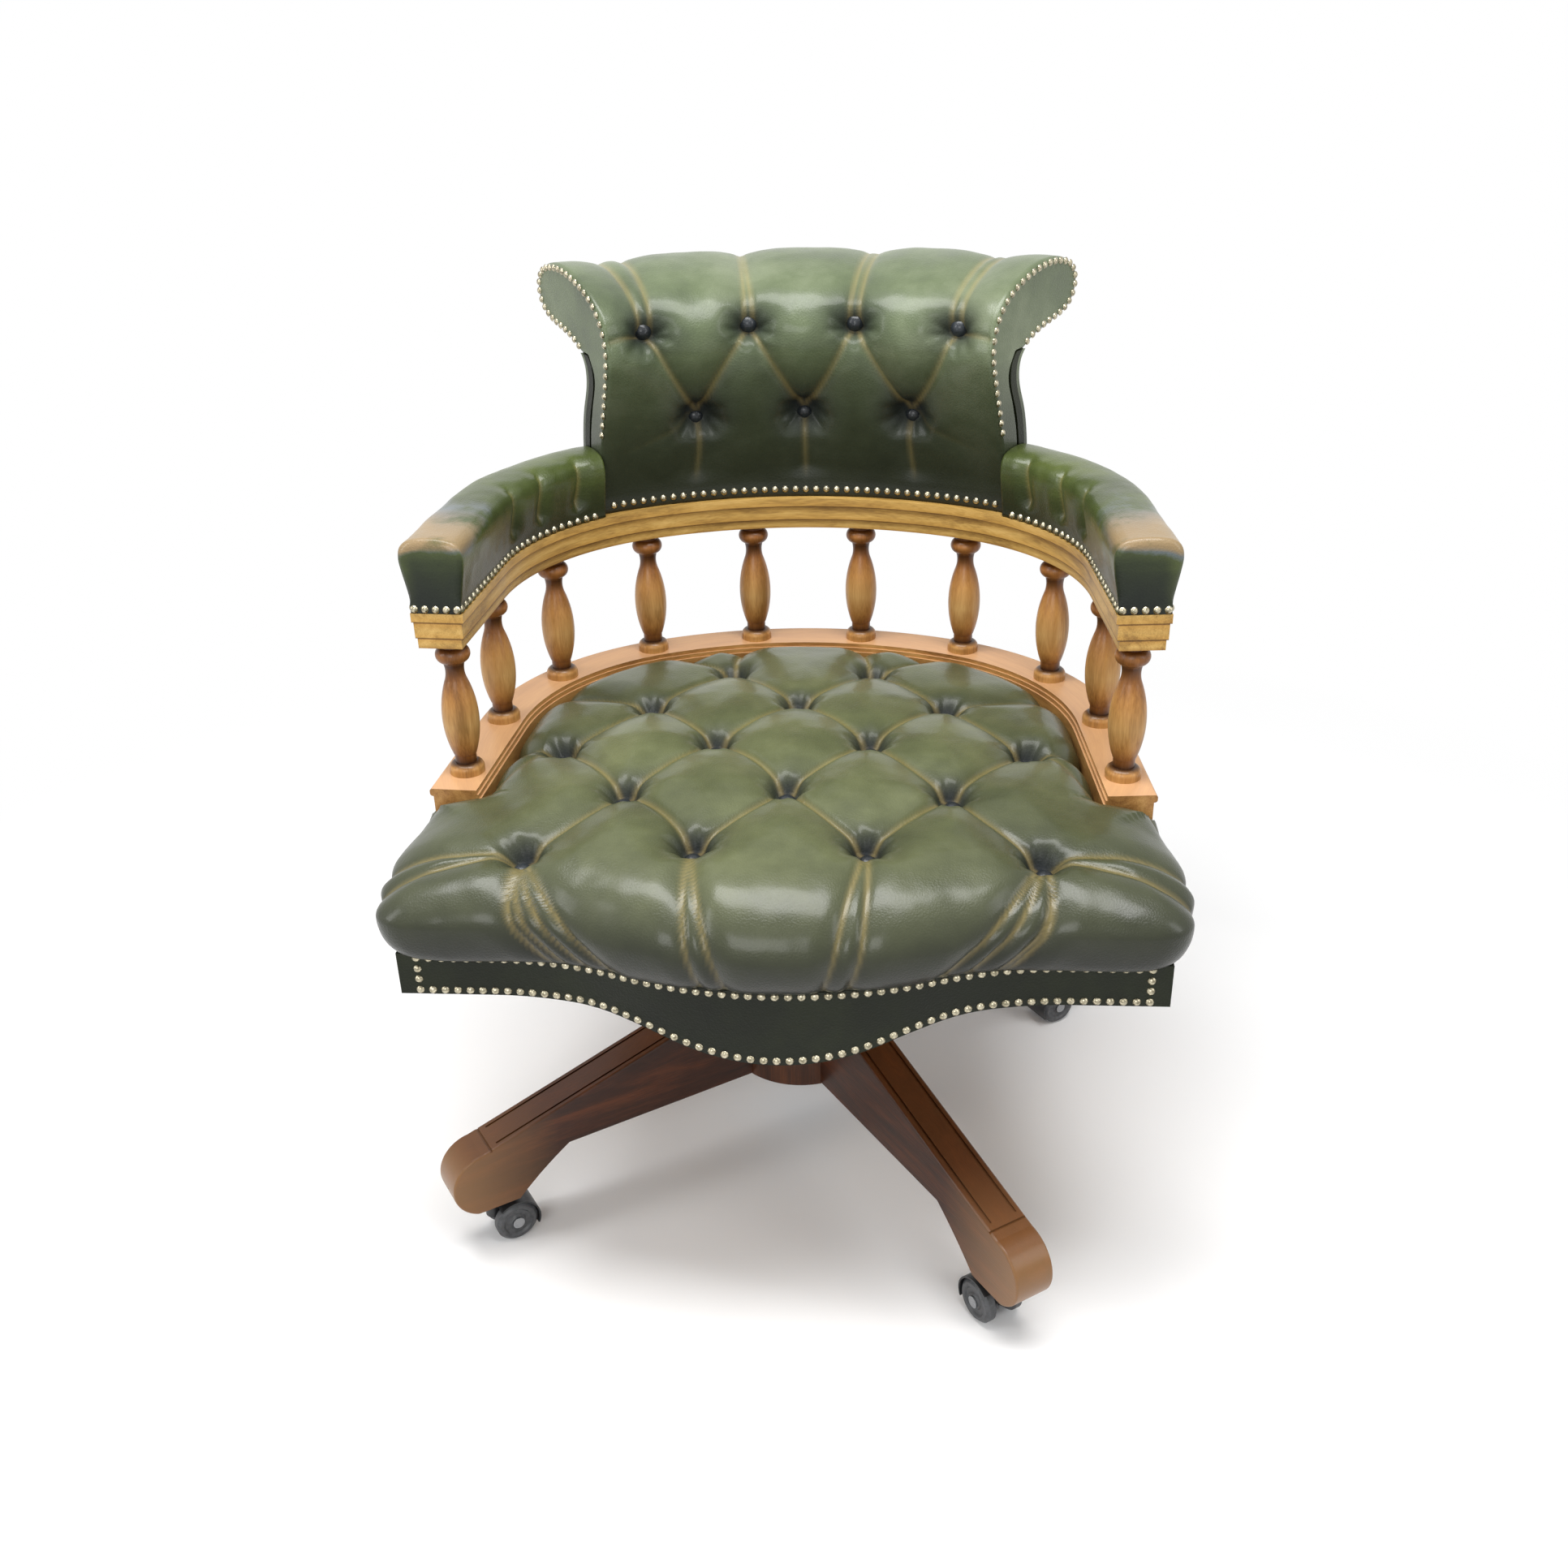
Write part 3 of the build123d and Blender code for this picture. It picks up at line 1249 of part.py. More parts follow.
for number, angle in enumerate(leg_angles()):
    save(f"leg_{number + 1}", Rot(0, 0, angle) * leg())
    place = under_toe(angle)
    save(f"castor_hood_{number + 1}", place * hood())
    save(f"castor_axle_{number + 1}", place * axle())
    save(f"castor_wheel_{number + 1}_a", place * wheel(1))
    save(f"castor_wheel_{number + 1}_b", place * wheel(-1))
save("castor_stems", group([under_toe(angle) * castor_stem() for angle in leg_angles()]))
save("hub", hub())
save("base_plate", base_plate())
save("base_screws", base_screws())
save("column_tube", column_tube())
save("guide_bush", guide_bush())
save("lift_screw", lift_screw())
save("retaining_ring", retaining_ring())
save("hand_wheel", hand_wheel())
save("cradle", cradle())
save("pivot_pin", pivot_pin())
save("tension_spring", tension_spring())
save("tilt_plate", tilt_plate())
save("plate_bolts", plate_bolts())
save("tension_bolt", tension_bolt())
save("spring_cup", spring_cup())
save("tension_knob", tension_knob())
save("seat_board", seat_board())
save("seat_frame", seat_frame())
save("seat_rail", seat_rail())
save("apron", apron())
for side, number, (x, y) in spindle_places():
    save(f"spindle_{side}_{number}", Pos(x, y, rail_top) * spindle())
save("arm_bow", arm_bow())
left_pad, right_pad = arm_pads()
save("arm_pad_left", left_pad)
save("arm_pad_right", right_pad)
save("back_board", back_layer(cover_thickness, back_board_thickness))
save("back_cover", back_layer(0, cover_thickness))
save("back_cushion", back_cushion())
save("seat_cushion", seat_cushion())
save("tufting_buttons", tufting_buttons())
save("upholstery_nails", group(apron_nails() + arm_nails() + back_nails()))
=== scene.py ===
# %% [markdown]
# # A swivel desk chair in wood, steel and buttoned leather
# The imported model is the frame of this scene: every body, joint and hard piece comes from it and stays
# where it is. The chapters below lay new leather over the stuffed pieces, because a solid can't show how
# buttons and folds draw leather in. Then every hard piece gets its finish, and the floor, the lamps and
# the camera come last.

# %% Load the frame
import json
from math import asin, cos, hypot, pi, radians, sin

import bmesh
import bpy
import numpy as np
from mathutils import Matrix, Vector, kdtree, noise


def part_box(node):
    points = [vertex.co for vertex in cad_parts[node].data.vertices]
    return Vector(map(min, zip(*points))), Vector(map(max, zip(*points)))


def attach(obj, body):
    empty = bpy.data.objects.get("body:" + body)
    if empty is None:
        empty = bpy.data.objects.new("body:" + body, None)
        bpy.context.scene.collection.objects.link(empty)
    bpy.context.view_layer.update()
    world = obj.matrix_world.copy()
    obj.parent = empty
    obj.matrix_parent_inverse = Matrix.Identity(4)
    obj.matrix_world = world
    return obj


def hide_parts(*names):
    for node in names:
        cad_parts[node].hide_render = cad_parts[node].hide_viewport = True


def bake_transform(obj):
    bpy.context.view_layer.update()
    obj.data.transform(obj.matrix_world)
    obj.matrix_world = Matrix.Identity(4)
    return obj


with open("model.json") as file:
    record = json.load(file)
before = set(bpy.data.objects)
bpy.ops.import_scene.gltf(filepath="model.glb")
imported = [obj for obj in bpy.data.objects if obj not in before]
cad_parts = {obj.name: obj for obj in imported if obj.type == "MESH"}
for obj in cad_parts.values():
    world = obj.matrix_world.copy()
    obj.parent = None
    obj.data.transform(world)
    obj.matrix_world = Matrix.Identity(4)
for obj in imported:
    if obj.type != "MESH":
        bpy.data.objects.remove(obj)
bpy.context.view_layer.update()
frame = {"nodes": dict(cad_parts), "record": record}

nodes = frame["nodes"]
slot_of = {part["node"]: part["material_slot"] for part in frame["record"]["subparts"]}

# %% [markdown]
# ## The line that the wood follows
# Seat rail, arm bow and arm pads all follow one horseshoe: a wide arc across the back, a tighter arc at
# each rear corner and straight arms that open a little towards the front. A curve object could hold that
# line, but one function that walks along the right half gives a place for any distance and any offset, so
# that leather and wood share one line.

# %% Walk along the horseshoe
rear_y, rear_radius, side_radius = 0.2495, 0.360, 0.215
rear_half, flare = radians(25.5), radians(4.0)
rail_front_y = -0.107
rear_centre_y = rear_y - rear_radius
corner_x = (rear_radius - side_radius) * sin(rear_half)
corner_y = rear_centre_y + (rear_radius - side_radius) * cos(rear_half)
side_heading = pi / 2 - flare
rear_length = rear_radius * rear_half
corner_length = side_radius * (side_heading - rear_half)


def walk(distance, offset):
    """Places on the right half at a distance from the apex, and the outward heading there."""
    in_rear = distance < rear_length
    corner = rear_half + (distance - rear_length) / side_radius
    heading = np.where(in_rear, distance / rear_radius, np.minimum(corner, side_heading))
    radius = np.where(in_rear, rear_radius, side_radius) + offset
    straight = np.maximum(distance - rear_length - corner_length, 0)
    x = np.where(in_rear, 0, corner_x) + radius * np.sin(heading) + straight * sin(flare)
    y = np.where(in_rear, rear_centre_y, corner_y) + radius * np.cos(heading) - straight * cos(flare)
    return x, y, heading


def distance_at(y, offset):
    """Distance along the line where its straight part reaches a given y."""
    start_y = corner_y + (side_radius + offset) * cos(side_heading)
    return rear_length + corner_length + (start_y - y) / cos(flare)


print("half of the horseshoe is", round(distance_at(rail_front_y, 0), 4), "m long to the front of the rail")

# %% [markdown]
# ## Smooth outlines
# The side view of the back and the plan of the cushion are given by a few places, and a smooth curve is
# drawn through them. Blender's curves could draw it too, but plain points are easier to measure. Sampling
# the curve at equal steps keeps the faces of the leather evenly sized.

# %% Curves through points
curve_steps = 24


def smooth(points):
    """A Catmull-Rom curve through the points, as many short steps."""
    p = np.array([points[0], *points, points[-1]], float)
    t = np.linspace(0, 1, curve_steps, endpoint=False)[:, None]
    spans = [
        0.5 * (2 * b + (c - a) * t + (2 * a - 5 * b + 4 * c - d) * t ** 2 + (3 * b - a - 3 * c + d) * t ** 3)
        for a, b, c, d in zip(p, p[1:], p[2:], p[3:])
    ]
    return np.concatenate(spans + [p[-1:]])


def even(points, count):
    """The same line with points at equal distances, and the distance of each from the start."""
    points = np.asarray(points, float)
    length = np.concatenate([[0], np.cumsum(np.hypot(*np.diff(points, axis=0).T))])
    at = np.linspace(0, length[-1], count)
    return np.stack([np.interp(at, length, points[:, k]) for k in (0, 1)], 1), at


def step_up(value, low, high):
    """Rises smoothly from 0 at low to 1 at high."""
    t = np.clip((value - low) / (high - low), 0, 1)
    return t * t * (3 - 2 * t)


def between(first, second, share):
    """From the first value at share 0 to the second at share 1."""
    return first + (second - first) * share


print("a curve through 3 points has", len(smooth([(0, 0), (1, 0), (1, 1)])), "steps")

# %% [markdown]
# ## Laying out a piece of leather
# Each stuffed piece is one closed skin. It starts as a flat grid from Blender's grid operator. A function
# then says where each point of the grid stands, and where it would lie if the leather were flat on the
# bench. Folds and buttons are drawn on the flat leather, as an upholsterer chalks them, so a fold can run
# over the edge of the seat without a break. The third flat value says how freely the leather moves: it is
# 0 where nails hold it.

# %% Skin from a grid
merge_distance = 0.00003


def read(data, field, width):
    """All values of a field as an array with one row for each point."""
    values = np.empty(len(data) * width)
    data.foreach_get(field, values)
    return values.reshape(-1, width)


def point_values(mesh, name, values):
    """Store one number or one vector for each point, for the materials to read."""
    kind, field = ("FLOAT", "value") if values.ndim == 1 else ("FLOAT_VECTOR", "vector")
    layer = mesh.attributes.get(name) or mesh.attributes.new(name, kind, "POINT")
    layer.data.foreach_set(field, values.ravel())


def skin(name, columns, rows, place):
    """A closed, smooth skin whose grid point (u, v) stands at place(u, v)."""
    mesh = bpy.data.meshes.new(name)
    bm = bmesh.new()
    bmesh.ops.create_grid(bm, x_segments=columns, y_segments=rows, size=0.5)
    bm.to_mesh(mesh)
    u, v = read(mesh.vertices, "co", 3)[:, :2].T + 0.5
    stands, flat = place(u, v)
    mesh.vertices.foreach_set("co", stands.ravel())
    point_values(mesh, "flat", flat)
    bm.clear()
    bm.from_mesh(mesh)
    bmesh.ops.remove_doubles(bm, verts=bm.verts, dist=merge_distance)
    bmesh.ops.recalc_face_normals(bm, faces=bm.faces)
    for face in bm.faces:
        face.smooth = True
    bm.to_mesh(mesh)
    bm.free()
    obj = bpy.data.objects.new(name, mesh)
    bpy.context.scene.collection.objects.link(obj)
    print(name, "points:", len(mesh.vertices), "faces:", len(mesh.polygons))
    return obj


print("points of a skin closer than", merge_distance * 1000, "mm become one")

# %% [markdown]
# ## Drawing the leather in
# Three things shape buttoned leather. A button pulls a deep pit. Between two buttons the spare leather is
# tucked into a fold, and the stuffing rises from it like a pillow. Small ripples run everywhere, and short
# puckers stand round each button. A cloth simulation could find such shapes, but every button and fold of
# this chair has its known place, so moving the points by formulas keeps each one exactly there.

# %% Folds, pits and ripples
draws = np.random.RandomState(7)
crease_width, crease_share, line_width = 0.0034, 0.25, 0.0022
# A fold between two buttons is shallower halfway by this share
rise_share = 0.36
# A fold this deep or deeper rubs pale, and by this share at its ends
rubbed_depth, rubbed_ends = 0.0068, 0.35
button_rim, pit_power = 0.0088, 2.2
pucker_count, pucker_reach, pucker_height = 9, 0.016, 0.0010
ripple_sizes = ((0.045, 0.0009), (0.014, 0.00028))


def fold(start, end, depth, width, fade=0.0, bend=0.05):
    """A fold on the flat leather. It bows sideways a little and may fade towards its end."""
    return (*start, *end, depth, width, fade, bend * draws.uniform(-1, 1))


def fold_distance(flat, x0, y0, x1, y1, bow):
    """Distance of each point from a bowed fold line, and how far along the line it is."""
    dx, dy = x1 - x0, y1 - y0
    length = hypot(dx, dy)
    along = ((flat[:, 0] - x0) * dx + (flat[:, 1] - y0) * dy) / length ** 2
    inside = np.clip(along, 0, 1)
    side = ((flat[:, 1] - y0) * dx - (flat[:, 0] - x0) * dy) / length - bow * length * np.sin(pi * inside)
    return np.hypot(side, (along - inside) * length), inside


def ripples(points):
    """Uneven stuffing and small creases, as a height for each point."""
    height = np.zeros(len(points))
    for size, depth in ripple_sizes:
        height += depth * np.array([noise.noise(Vector(p) / size) for p in points])
    return height


def deeper(first, second):
    """The deeper of two hollows, with a soft ridge where they meet."""
    return (first ** 4 + second ** 4) ** 0.25


def draw_in(obj, folds, pits, shift=0.0):
    """Move the points of a skin inwards along its normals. Painted shade lies shifted from the pits."""
    mesh = obj.data
    stands, normals = read(mesh.vertices, "co", 3), read(mesh.vertices, "normal", 3)
    flat = read(mesh.attributes["flat"].data, "vector", 3)
    sunk, line, pit = np.zeros((3, len(flat)))
    for x0, y0, x1, y1, depth, width, fade, bow in folds:
        distance, along = fold_distance(flat, x0, y0, x1, y1, bow)
        rise = 0 if fade else rise_share * np.sin(pi * along)
        deep = depth * (1 - fade * along) * (1 - rise)
        side = deep * (1 - np.sin(pi / 2 * np.minimum(distance / width, 1)))
        crease = crease_share * deep * np.exp(-(distance / crease_width) ** 2)
        sunk = deeper(sunk, side + crease)
        rubbed = between(rubbed_ends, 1, np.sin(pi * along) ** 0.5) * np.clip(depth / rubbed_depth, 0, 1) ** 2
        line = np.maximum(line, rubbed * deep / depth * np.exp(-(distance / line_width) ** 2))
    for x, y, depth, radius, tint in pits:
        away = np.hypot(flat[:, 0] - x, flat[:, 1] - y)
        reach = np.clip((away - button_rim) / (radius - button_rim), 0, 1)
        sunk = deeper(sunk, depth * (1 - reach) ** pit_power)
        sunk = np.where(away < button_rim, depth, np.minimum(sunk, depth))
        turn = np.arctan2(flat[:, 1] - y, flat[:, 0] - x)
        wave = np.cos(pucker_count * turn + draws.uniform(0, 2 * pi))
        near = np.exp(-((away - pucker_reach) / (pucker_reach / 2)) ** 2)
        sunk += pucker_height * wave * near * (away > button_rim)
        # Painted shade round each pit, moved by shift from the button
        shade_away = np.hypot(flat[:, 0] - x, flat[:, 1] - y - shift)
        pit = np.maximum(pit, np.exp(-(shade_away / tint) ** 2))
    sunk = (sunk - ripples(stands)) * flat[:, 2]
    mesh.vertices.foreach_set("co", (stands - normals * sunk[:, None]).ravel())
    point_values(mesh, "fold", line * flat[:, 2])
    point_values(mesh, "pit", pit * flat[:, 2])
    mesh.update()
    print(obj.name, "sinks up to", round(float(sunk.max()), 4), "m; folds:", len(folds), "pits:", len(pits))


print("ripples in the stuffing are", [size for size, depth in ripple_sizes], "m wide")

# %% [markdown]
# ## Colours and shader nodes
# Colours are written as they look on screen. A renderer works with linear light, so one function turns
# them over. One helper adds any shader node with its settings, values and links. Nodes can also be wired
# by hand in the editor, but written down they can be read and changed like the rest of the chair.

# %% Colour and node helpers
node_settings = ("operation", "blend_type", "data_type", "attribute_name")


def linear(code):
    """An #rrggbb screen colour as linear light."""
    parts = [int(code[k:k + 2], 16) / 255 for k in (1, 3, 5)]
    return (*[c / 12.92 if c <= 0.04045 else ((c + 0.055) / 1.055) ** 2.4 for c in parts], 1.0)


def add(tree, kind, *values, stops=(), **inputs):
    """Add a shader node, or go on with one that is there, and give it settings, values and links.

    Values go to the inputs in their order, and named ones to the input of that name, or i6 to input 6.
    A node stands for its first output in use, #rrggbb for a colour, and stops are those of a ramp.
    """
    made = kind if isinstance(kind, bpy.types.Node) else tree.nodes.new("ShaderNode" + kind)
    for key, value in [*enumerate(values), *inputs.items()]:
        if key in node_settings:
            setattr(made, key, value)
            continue
        if isinstance(key, str):
            key = int(key[1:]) if key[1:].isdigit() else key.replace("_", " ")
        if isinstance(value, bpy.types.Node):
            value = next(output for output in value.outputs if output.enabled)
        if isinstance(value, bpy.types.NodeSocket):
            tree.links.new(value, made.inputs[key])
        else:
            made.inputs[key].default_value = linear(value) if isinstance(value, str) else value
    for index, (position, colour) in enumerate(sorted(stops)):
        if len(made.color_ramp.elements) < len(stops):
            made.color_ramp.elements.new(position)
        made.color_ramp.elements[index].position = position
        made.color_ramp.elements[index].color = linear(colour)
    return made


def begin(name):
    """A new material with its Principled shader, and the place of each point in metres."""
    material = bpy.data.materials.new(name)
    material.use_nodes = True
    tree = material.node_tree
    place = add(tree, "TexCoord").outputs["Object"]
    return material, tree, tree.nodes["Principled BSDF"], place


def weighted(tree, first, share, second):
    """The sum of two patterns, the first with this share and the second with the rest."""
    parts = [add(tree, "Math", *part, operation="MULTIPLY") for part in ((first, share), (second, 1 - share))]
    return add(tree, "Math", *parts, operation="ADD")


print("mid grey in linear light:", round(linear("#808080")[0], 4))

# %% [markdown]
# ## Antiqued leather
# The hide is olive green and waxed by hand. Shade is painted into its colour in the pits and low down, it has
# worn pale along the tucks, and the arms are rubbed through to tan. A painted image could show that, but it
# would need the leather unwrapped. Noise on Object coordinates in metres keeps the grain at its real size on
# every piece, and the fold, pit and wear values of the skins say where painted shade and wear lie.

# %% Leather material
# In repeats for each metre: a pebble of the grain is 1.6 mm wide, a pore 0.7 mm, a rubbed blotch 45 mm, and
# the dye has patches of 30 mm and clouds of 110 mm
grain_scale, pore_scale, blotch_scale, patch_scale, cloud_scale = 620.0, 1500.0, 22.0, 34.0, 9.0
grain_depth, pore_share = 0.00022, 0.3
cloud_share, shade_share, pit_shade_share, line_share, worn_share = 0.62, 0.96, 0.97, 0.44, 0.85
# Colours of the painted shade low down and in the pits, of the pale worn tucks, and of half-worn leather
low_shade, pit_shade_colour, pale_tuck, half_worn = "#12140c", "#10141b", "#a8935a", "#5d6468"
blotch_strength, edge_from, edge_to, through_from, through_to = 1.5, 1.15, 1.45, 0.50, 0.72
shade_curve, patch_sheen, pit_dulling, hide_specular, wax_rough = 0.5, 0.22, 0.34, 0.2, 0.21


def leather(name, light, mid, dark, worn, low, high, gloss=0.38, shine=0.40):
    """Antiqued leather with shade painted in from the height high down to low, that wears to the colour worn.
    """
    material, tree, shader, place = begin(name)
    cloud = add(tree, "TexNoise", place, Scale=cloud_scale, Detail=4.0)
    patch = add(tree, "TexNoise", place, Scale=patch_scale, Detail=5.0, Roughness=0.6)
    mixed = weighted(tree, cloud, cloud_share, patch)
    colour = add(tree, "ValToRGB", mixed, stops=[(0.30, dark), (0.50, mid), (0.70, light)])
    # Painted shade: the colour darkens from the height high down to low
    height = add(tree, "SeparateXYZ", place).outputs["Z"]
    shade = add(tree, "MapRange", height, From_Min=low, From_Max=high, To_Min=shade_share, To_Max=0.0)
    shade = add(tree, "Math", shade, shade_curve, operation="POWER")
    colour = add(tree, "Mix", shade, data_type="RGBA", i6=colour, i7=low_shade)
    pit, line, wear = [add(tree, "Attribute", attribute_name=layer).outputs["Fac"]
                       for layer in ("pit", "fold", "wear")]
    # Painted shade in the pits and on the arms' front faces, and the pale of worn tucks
    for layer, share, tint in ((pit, pit_shade_share, pit_shade_colour), (line, line_share, pale_tuck)):
        amount = add(tree, "Math", layer, share, operation="MULTIPLY")
        colour = add(tree, "Mix", amount, data_type="RGBA", i6=colour, i7=tint)
    blotch = add(tree, "TexNoise", place, Scale=blotch_scale, Detail=5.0, Roughness=0.62)
    blotch = add(tree, "Math", blotch, blotch_strength, operation="MULTIPLY")
    rubbed = add(tree, "Math", wear, blotch, operation="ADD")
    rubbed = add(tree, "MapRange", rubbed, From_Min=edge_from, From_Max=edge_to)
    rubbed = add(tree, "Math", rubbed, worn_share, operation="MULTIPLY")
    through = add(tree, "MapRange", wear, From_Min=through_from, From_Max=through_to)
    worn_here = add(tree, "Mix", through, data_type="RGBA", i6=half_worn, i7=worn)
    colour = add(tree, "Mix", rubbed, data_type="RGBA", i6=colour, i7=worn_here)
    grain = add(tree, "TexVoronoi", place, Scale=grain_scale)
    pores = add(tree, "TexNoise", place, Scale=pore_scale, Detail=2.0)
    pores = add(tree, "Math", pores, pore_share, operation="MULTIPLY")
    grain = add(tree, "Math", grain, pores, operation="ADD")
    grain = add(tree, "Bump", Strength=1.0, Distance=grain_depth, Height=grain)
    rough = add(tree, "Math", patch, patch_sheen, operation="MULTIPLY")
    rough = add(tree, "Math", rough, gloss - patch_sheen / 2, operation="ADD")
    dull = add(tree, "Math", pit, pit_dulling, operation="MULTIPLY")
    rough = add(tree, "Math", rough, dull, operation="ADD")
    waxed = add(tree, "Math", 1.0, pit, operation="SUBTRACT")
    waxed = add(tree, "Math", waxed, shine, operation="MULTIPLY")
    add(tree, shader, Base_Color=colour, Roughness=rough, Normal=grain, Coat_Weight=waxed,
        Specular_IOR_Level=hide_specular, Coat_Roughness=wax_rough)
    return material


# Full-grain hide, dyed olive and antiqued by hand with wax: a soft broad sheen, cloudy colour, painted shade
# low and in hollows
seat_hide = leather("seat_hide", "#666b4a", "#54593b", "#42472f", "#8a6f45", 0.362, 0.440)
# The back's colours are paler than the seat's, as a painted sheen on its broad front
back_hide = leather("back_hide", "#717a5f", "#586346", "#434d36", "#8a6f45", 0.570, 0.725)
arm_hide = leather("arm_hide", "#56602f", "#404a24", "#2f371b", "#937b5a", 0.566, 0.616)
# Full-grain hide, dyed nearly black and drawn flat over boards: an even, dull band
band_hide = leather("band_hide", "#1f2412", "#14180b", "#0c0f06", "#6a6c58", 0.1, 0.2, 0.46, 0.04)
# Thin hide, dyed blue-black and drawn over domes: one small glint on each button
button_hide = leather("button_hide", "#2c3136", "#202428", "#16191c", "#6a6c58", 0.1, 0.2, 0.36)
print("leather materials:", [m.name for m in bpy.data.materials if m.name.endswith("hide")])

# %% [markdown]
# ## The seat cushion
# The seat is one hide over a deep stuffed pad. Its plan is wide ahead of the rail, where it rolls over the
# apron and ends at the upper row of nails, and narrower behind, where it drops inside the rail. A box with
# rounded edges could stand for it, but its corners would crowd the faces. Rings that shrink from the
# outline to a point near the middle cover it evenly, and they curl under at the edge, so that the roll and
# the top are one piece of leather.

# %% Outline of the seat in plan
rail_half, seat_gap = 0.0225, 0.0010
half_width, bulge, apron_ends_y = 0.325, 0.017, -0.2538
bow_radius, bow_half, bow_middle_y, hollow_radius = 0.331, 0.125, -0.299, 0.280
corner_places = [(0.268, apron_ends_y - bulge), (0.300, apron_ends_y - 0.013), (0.3185, -0.250),
                 (half_width, -0.212), (0.322, -0.170)]
rail_step_y = rail_front_y - 0.004
front_count, rear_count, outline_count = 24, 160, 2400


def front_line(forward):
    """Right half of the serpentine front, from the middle outwards, moved forwards."""
    turn = asin(bow_half / bow_radius)
    centre_y = bow_middle_y + bow_radius
    apart = bow_radius + hollow_radius
    hollow_x, hollow_y = apart * sin(turn), centre_y - apart * cos(turn)
    t = np.linspace(0, turn, front_count)
    bow = np.stack([(bow_radius + forward) * np.sin(t), centre_y - (bow_radius + forward) * np.cos(t)], 1)
    inner = hollow_radius - forward
    hollow = np.stack([hollow_x - inner * np.sin(t[::-1]), hollow_y + inner * np.cos(t[::-1])], 1)
    return np.concatenate([bow, hollow[1:]])


def seat_outline():
    """The cushion's plan as a closed line, from the middle of the front round by the right side."""
    side_x = float(walk(np.array(distance_at(rail_front_y, 0)), rail_half)[0])
    corner = smooth([*corner_places, (side_x, rail_step_y)])
    offset = -rail_half - seat_gap
    distance = np.linspace(distance_at(rail_front_y, offset), 0, rear_count)
    rear = np.stack(walk(distance, offset)[:2], 1)
    half = np.concatenate([front_line(bulge), corner, rear])
    return np.concatenate([half, (half * (-1, 1))[::-1]])


outline, outline_at = even(seat_outline(), outline_count)
outline_tree = kdtree.KDTree(len(outline))
for index, point in enumerate(outline):
    outline_tree.insert((*point, 0), index)
outline_tree.balance()
outline_heading = np.gradient(outline, axis=0)
outline_heading /= np.linalg.norm(outline_heading, axis=1)[:, None]
print("the seat measures", [round(float(v), 3) for v in np.ptp(outline, axis=0)], "m in plan")

# %% [markdown]
# ## Height of the seat
# The top is a shallow dome. Near the outline it rounds over: gently and far over the apron, and tightly
# inside the rail. A bevel would be equally wide all round, so the rounding follows the true distance to
# the outline instead, and also turns correctly where the cushion steps out in front of the rail.

# %% Top, roll and underside
hem_z, crown_z, dome_radius, dome_y = 0.3546, 0.452, 1.700, -0.050
front_round, rear_round = 0.062, 0.034
front_mid_z, rear_mid_z = 0.386, 0.399
rail_starts_y, rail_holds_y = -0.150, -0.105
seat_middle = np.array([0.0, -0.150])
seat_columns, under_rows, round_rows, top_rows = 700, 12, 26, 100
# How far in the rounding reaches, in its own widths, and how much the drop adds to the flat leather
roll_reach, drop_share, under_share = 1.35, 0.7, 0.4


def dome(x, y):
    """Height of the seat's crown."""
    return crown_z - dome_radius + np.sqrt(dome_radius ** 2 - x ** 2 - (y - dome_y) ** 2)


def ahead(y):
    """1 where the cushion lies ahead of the rail, 0 inside it."""
    return 1 - step_up(y, rail_starts_y, rail_holds_y)


def seat_place(u, v):
    """Rings of the seat: row 0 closes the underside, and the last row is the middle of the top."""
    rows = under_rows + round_rows + top_rows + 1
    row = np.rint(v * rows)
    edge = np.stack([np.interp(u * outline_at[-1], outline_at, outline[:, k]) for k in (0, 1)], 1)
    reach = np.linalg.norm(edge - seat_middle, axis=1)
    outwards = (edge - seat_middle) / reach[:, None]
    share = ahead(edge[:, 1])
    wide, mid_z = between(rear_round, front_round, share), between(rear_mid_z, front_mid_z, share)
    under = np.clip((under_rows + 1 - row) / under_rows, 0, 1)
    turn = pi / 2 * np.clip((row - under_rows - 1) / round_rows, 0, 1)
    inner = np.clip((row - under_rows - round_rows - 1) / top_rows, 0, 1)
    inset = roll_reach * wide * (1 - np.cos(turn)) + bulge * share * (1 - np.cos(pi / 2 * under))
    inset = np.where(row == 0, reach, inset + (reach - inset) * inner)
    plan = edge - outwards * inset[:, None]
    index = np.array([outline_tree.find((*p, 0))[1] for p in plan])
    away, heading = plan - outline[index], outline_heading[index]
    distance = np.abs(away[:, 0] * heading[:, 1] - away[:, 1] * heading[:, 0])
    share_there = ahead(outline[index, 1])
    across = np.clip(distance / between(rear_round, front_round, share_there), 0, 1)
    top = dome(plan[:, 0], plan[:, 1])
    crown = between(between(rear_mid_z, front_mid_z, share_there), top, np.sqrt(1 - (1 - across) ** 2))
    curled = mid_z - (mid_z - hem_z) * np.sin(pi / 2 * under)
    z = np.where(row > under_rows, crown, curled)
    z = np.where(row == 0, hem_z, z)
    spread = drop_share * (top - z) + np.where(row > under_rows, 0, under_share * (mid_z - z))
    flat = plan + outwards * spread[:, None]
    free = np.where(row > under_rows, 1, np.cos(pi / 2 * under) ** 0.5 * share)
    return np.column_stack([plan, z]), np.column_stack([flat, np.clip(free, 0, 1)])


seat = skin("seat_leather", seat_columns, under_rows + round_rows + top_rows + 1, seat_place)

# %% [markdown]
# ## Buttons and folds of the seat
# Sixteen buttons stand in five rows, each row shifted by half a step, so the folds between them form
# diamonds. From the front row the folds run over the roll and spread like a fan, and the outer buttons send
# folds to the rail and the sides. Sculpting could cut them one by one, but listed by their ends they stay
# even and easy to move.

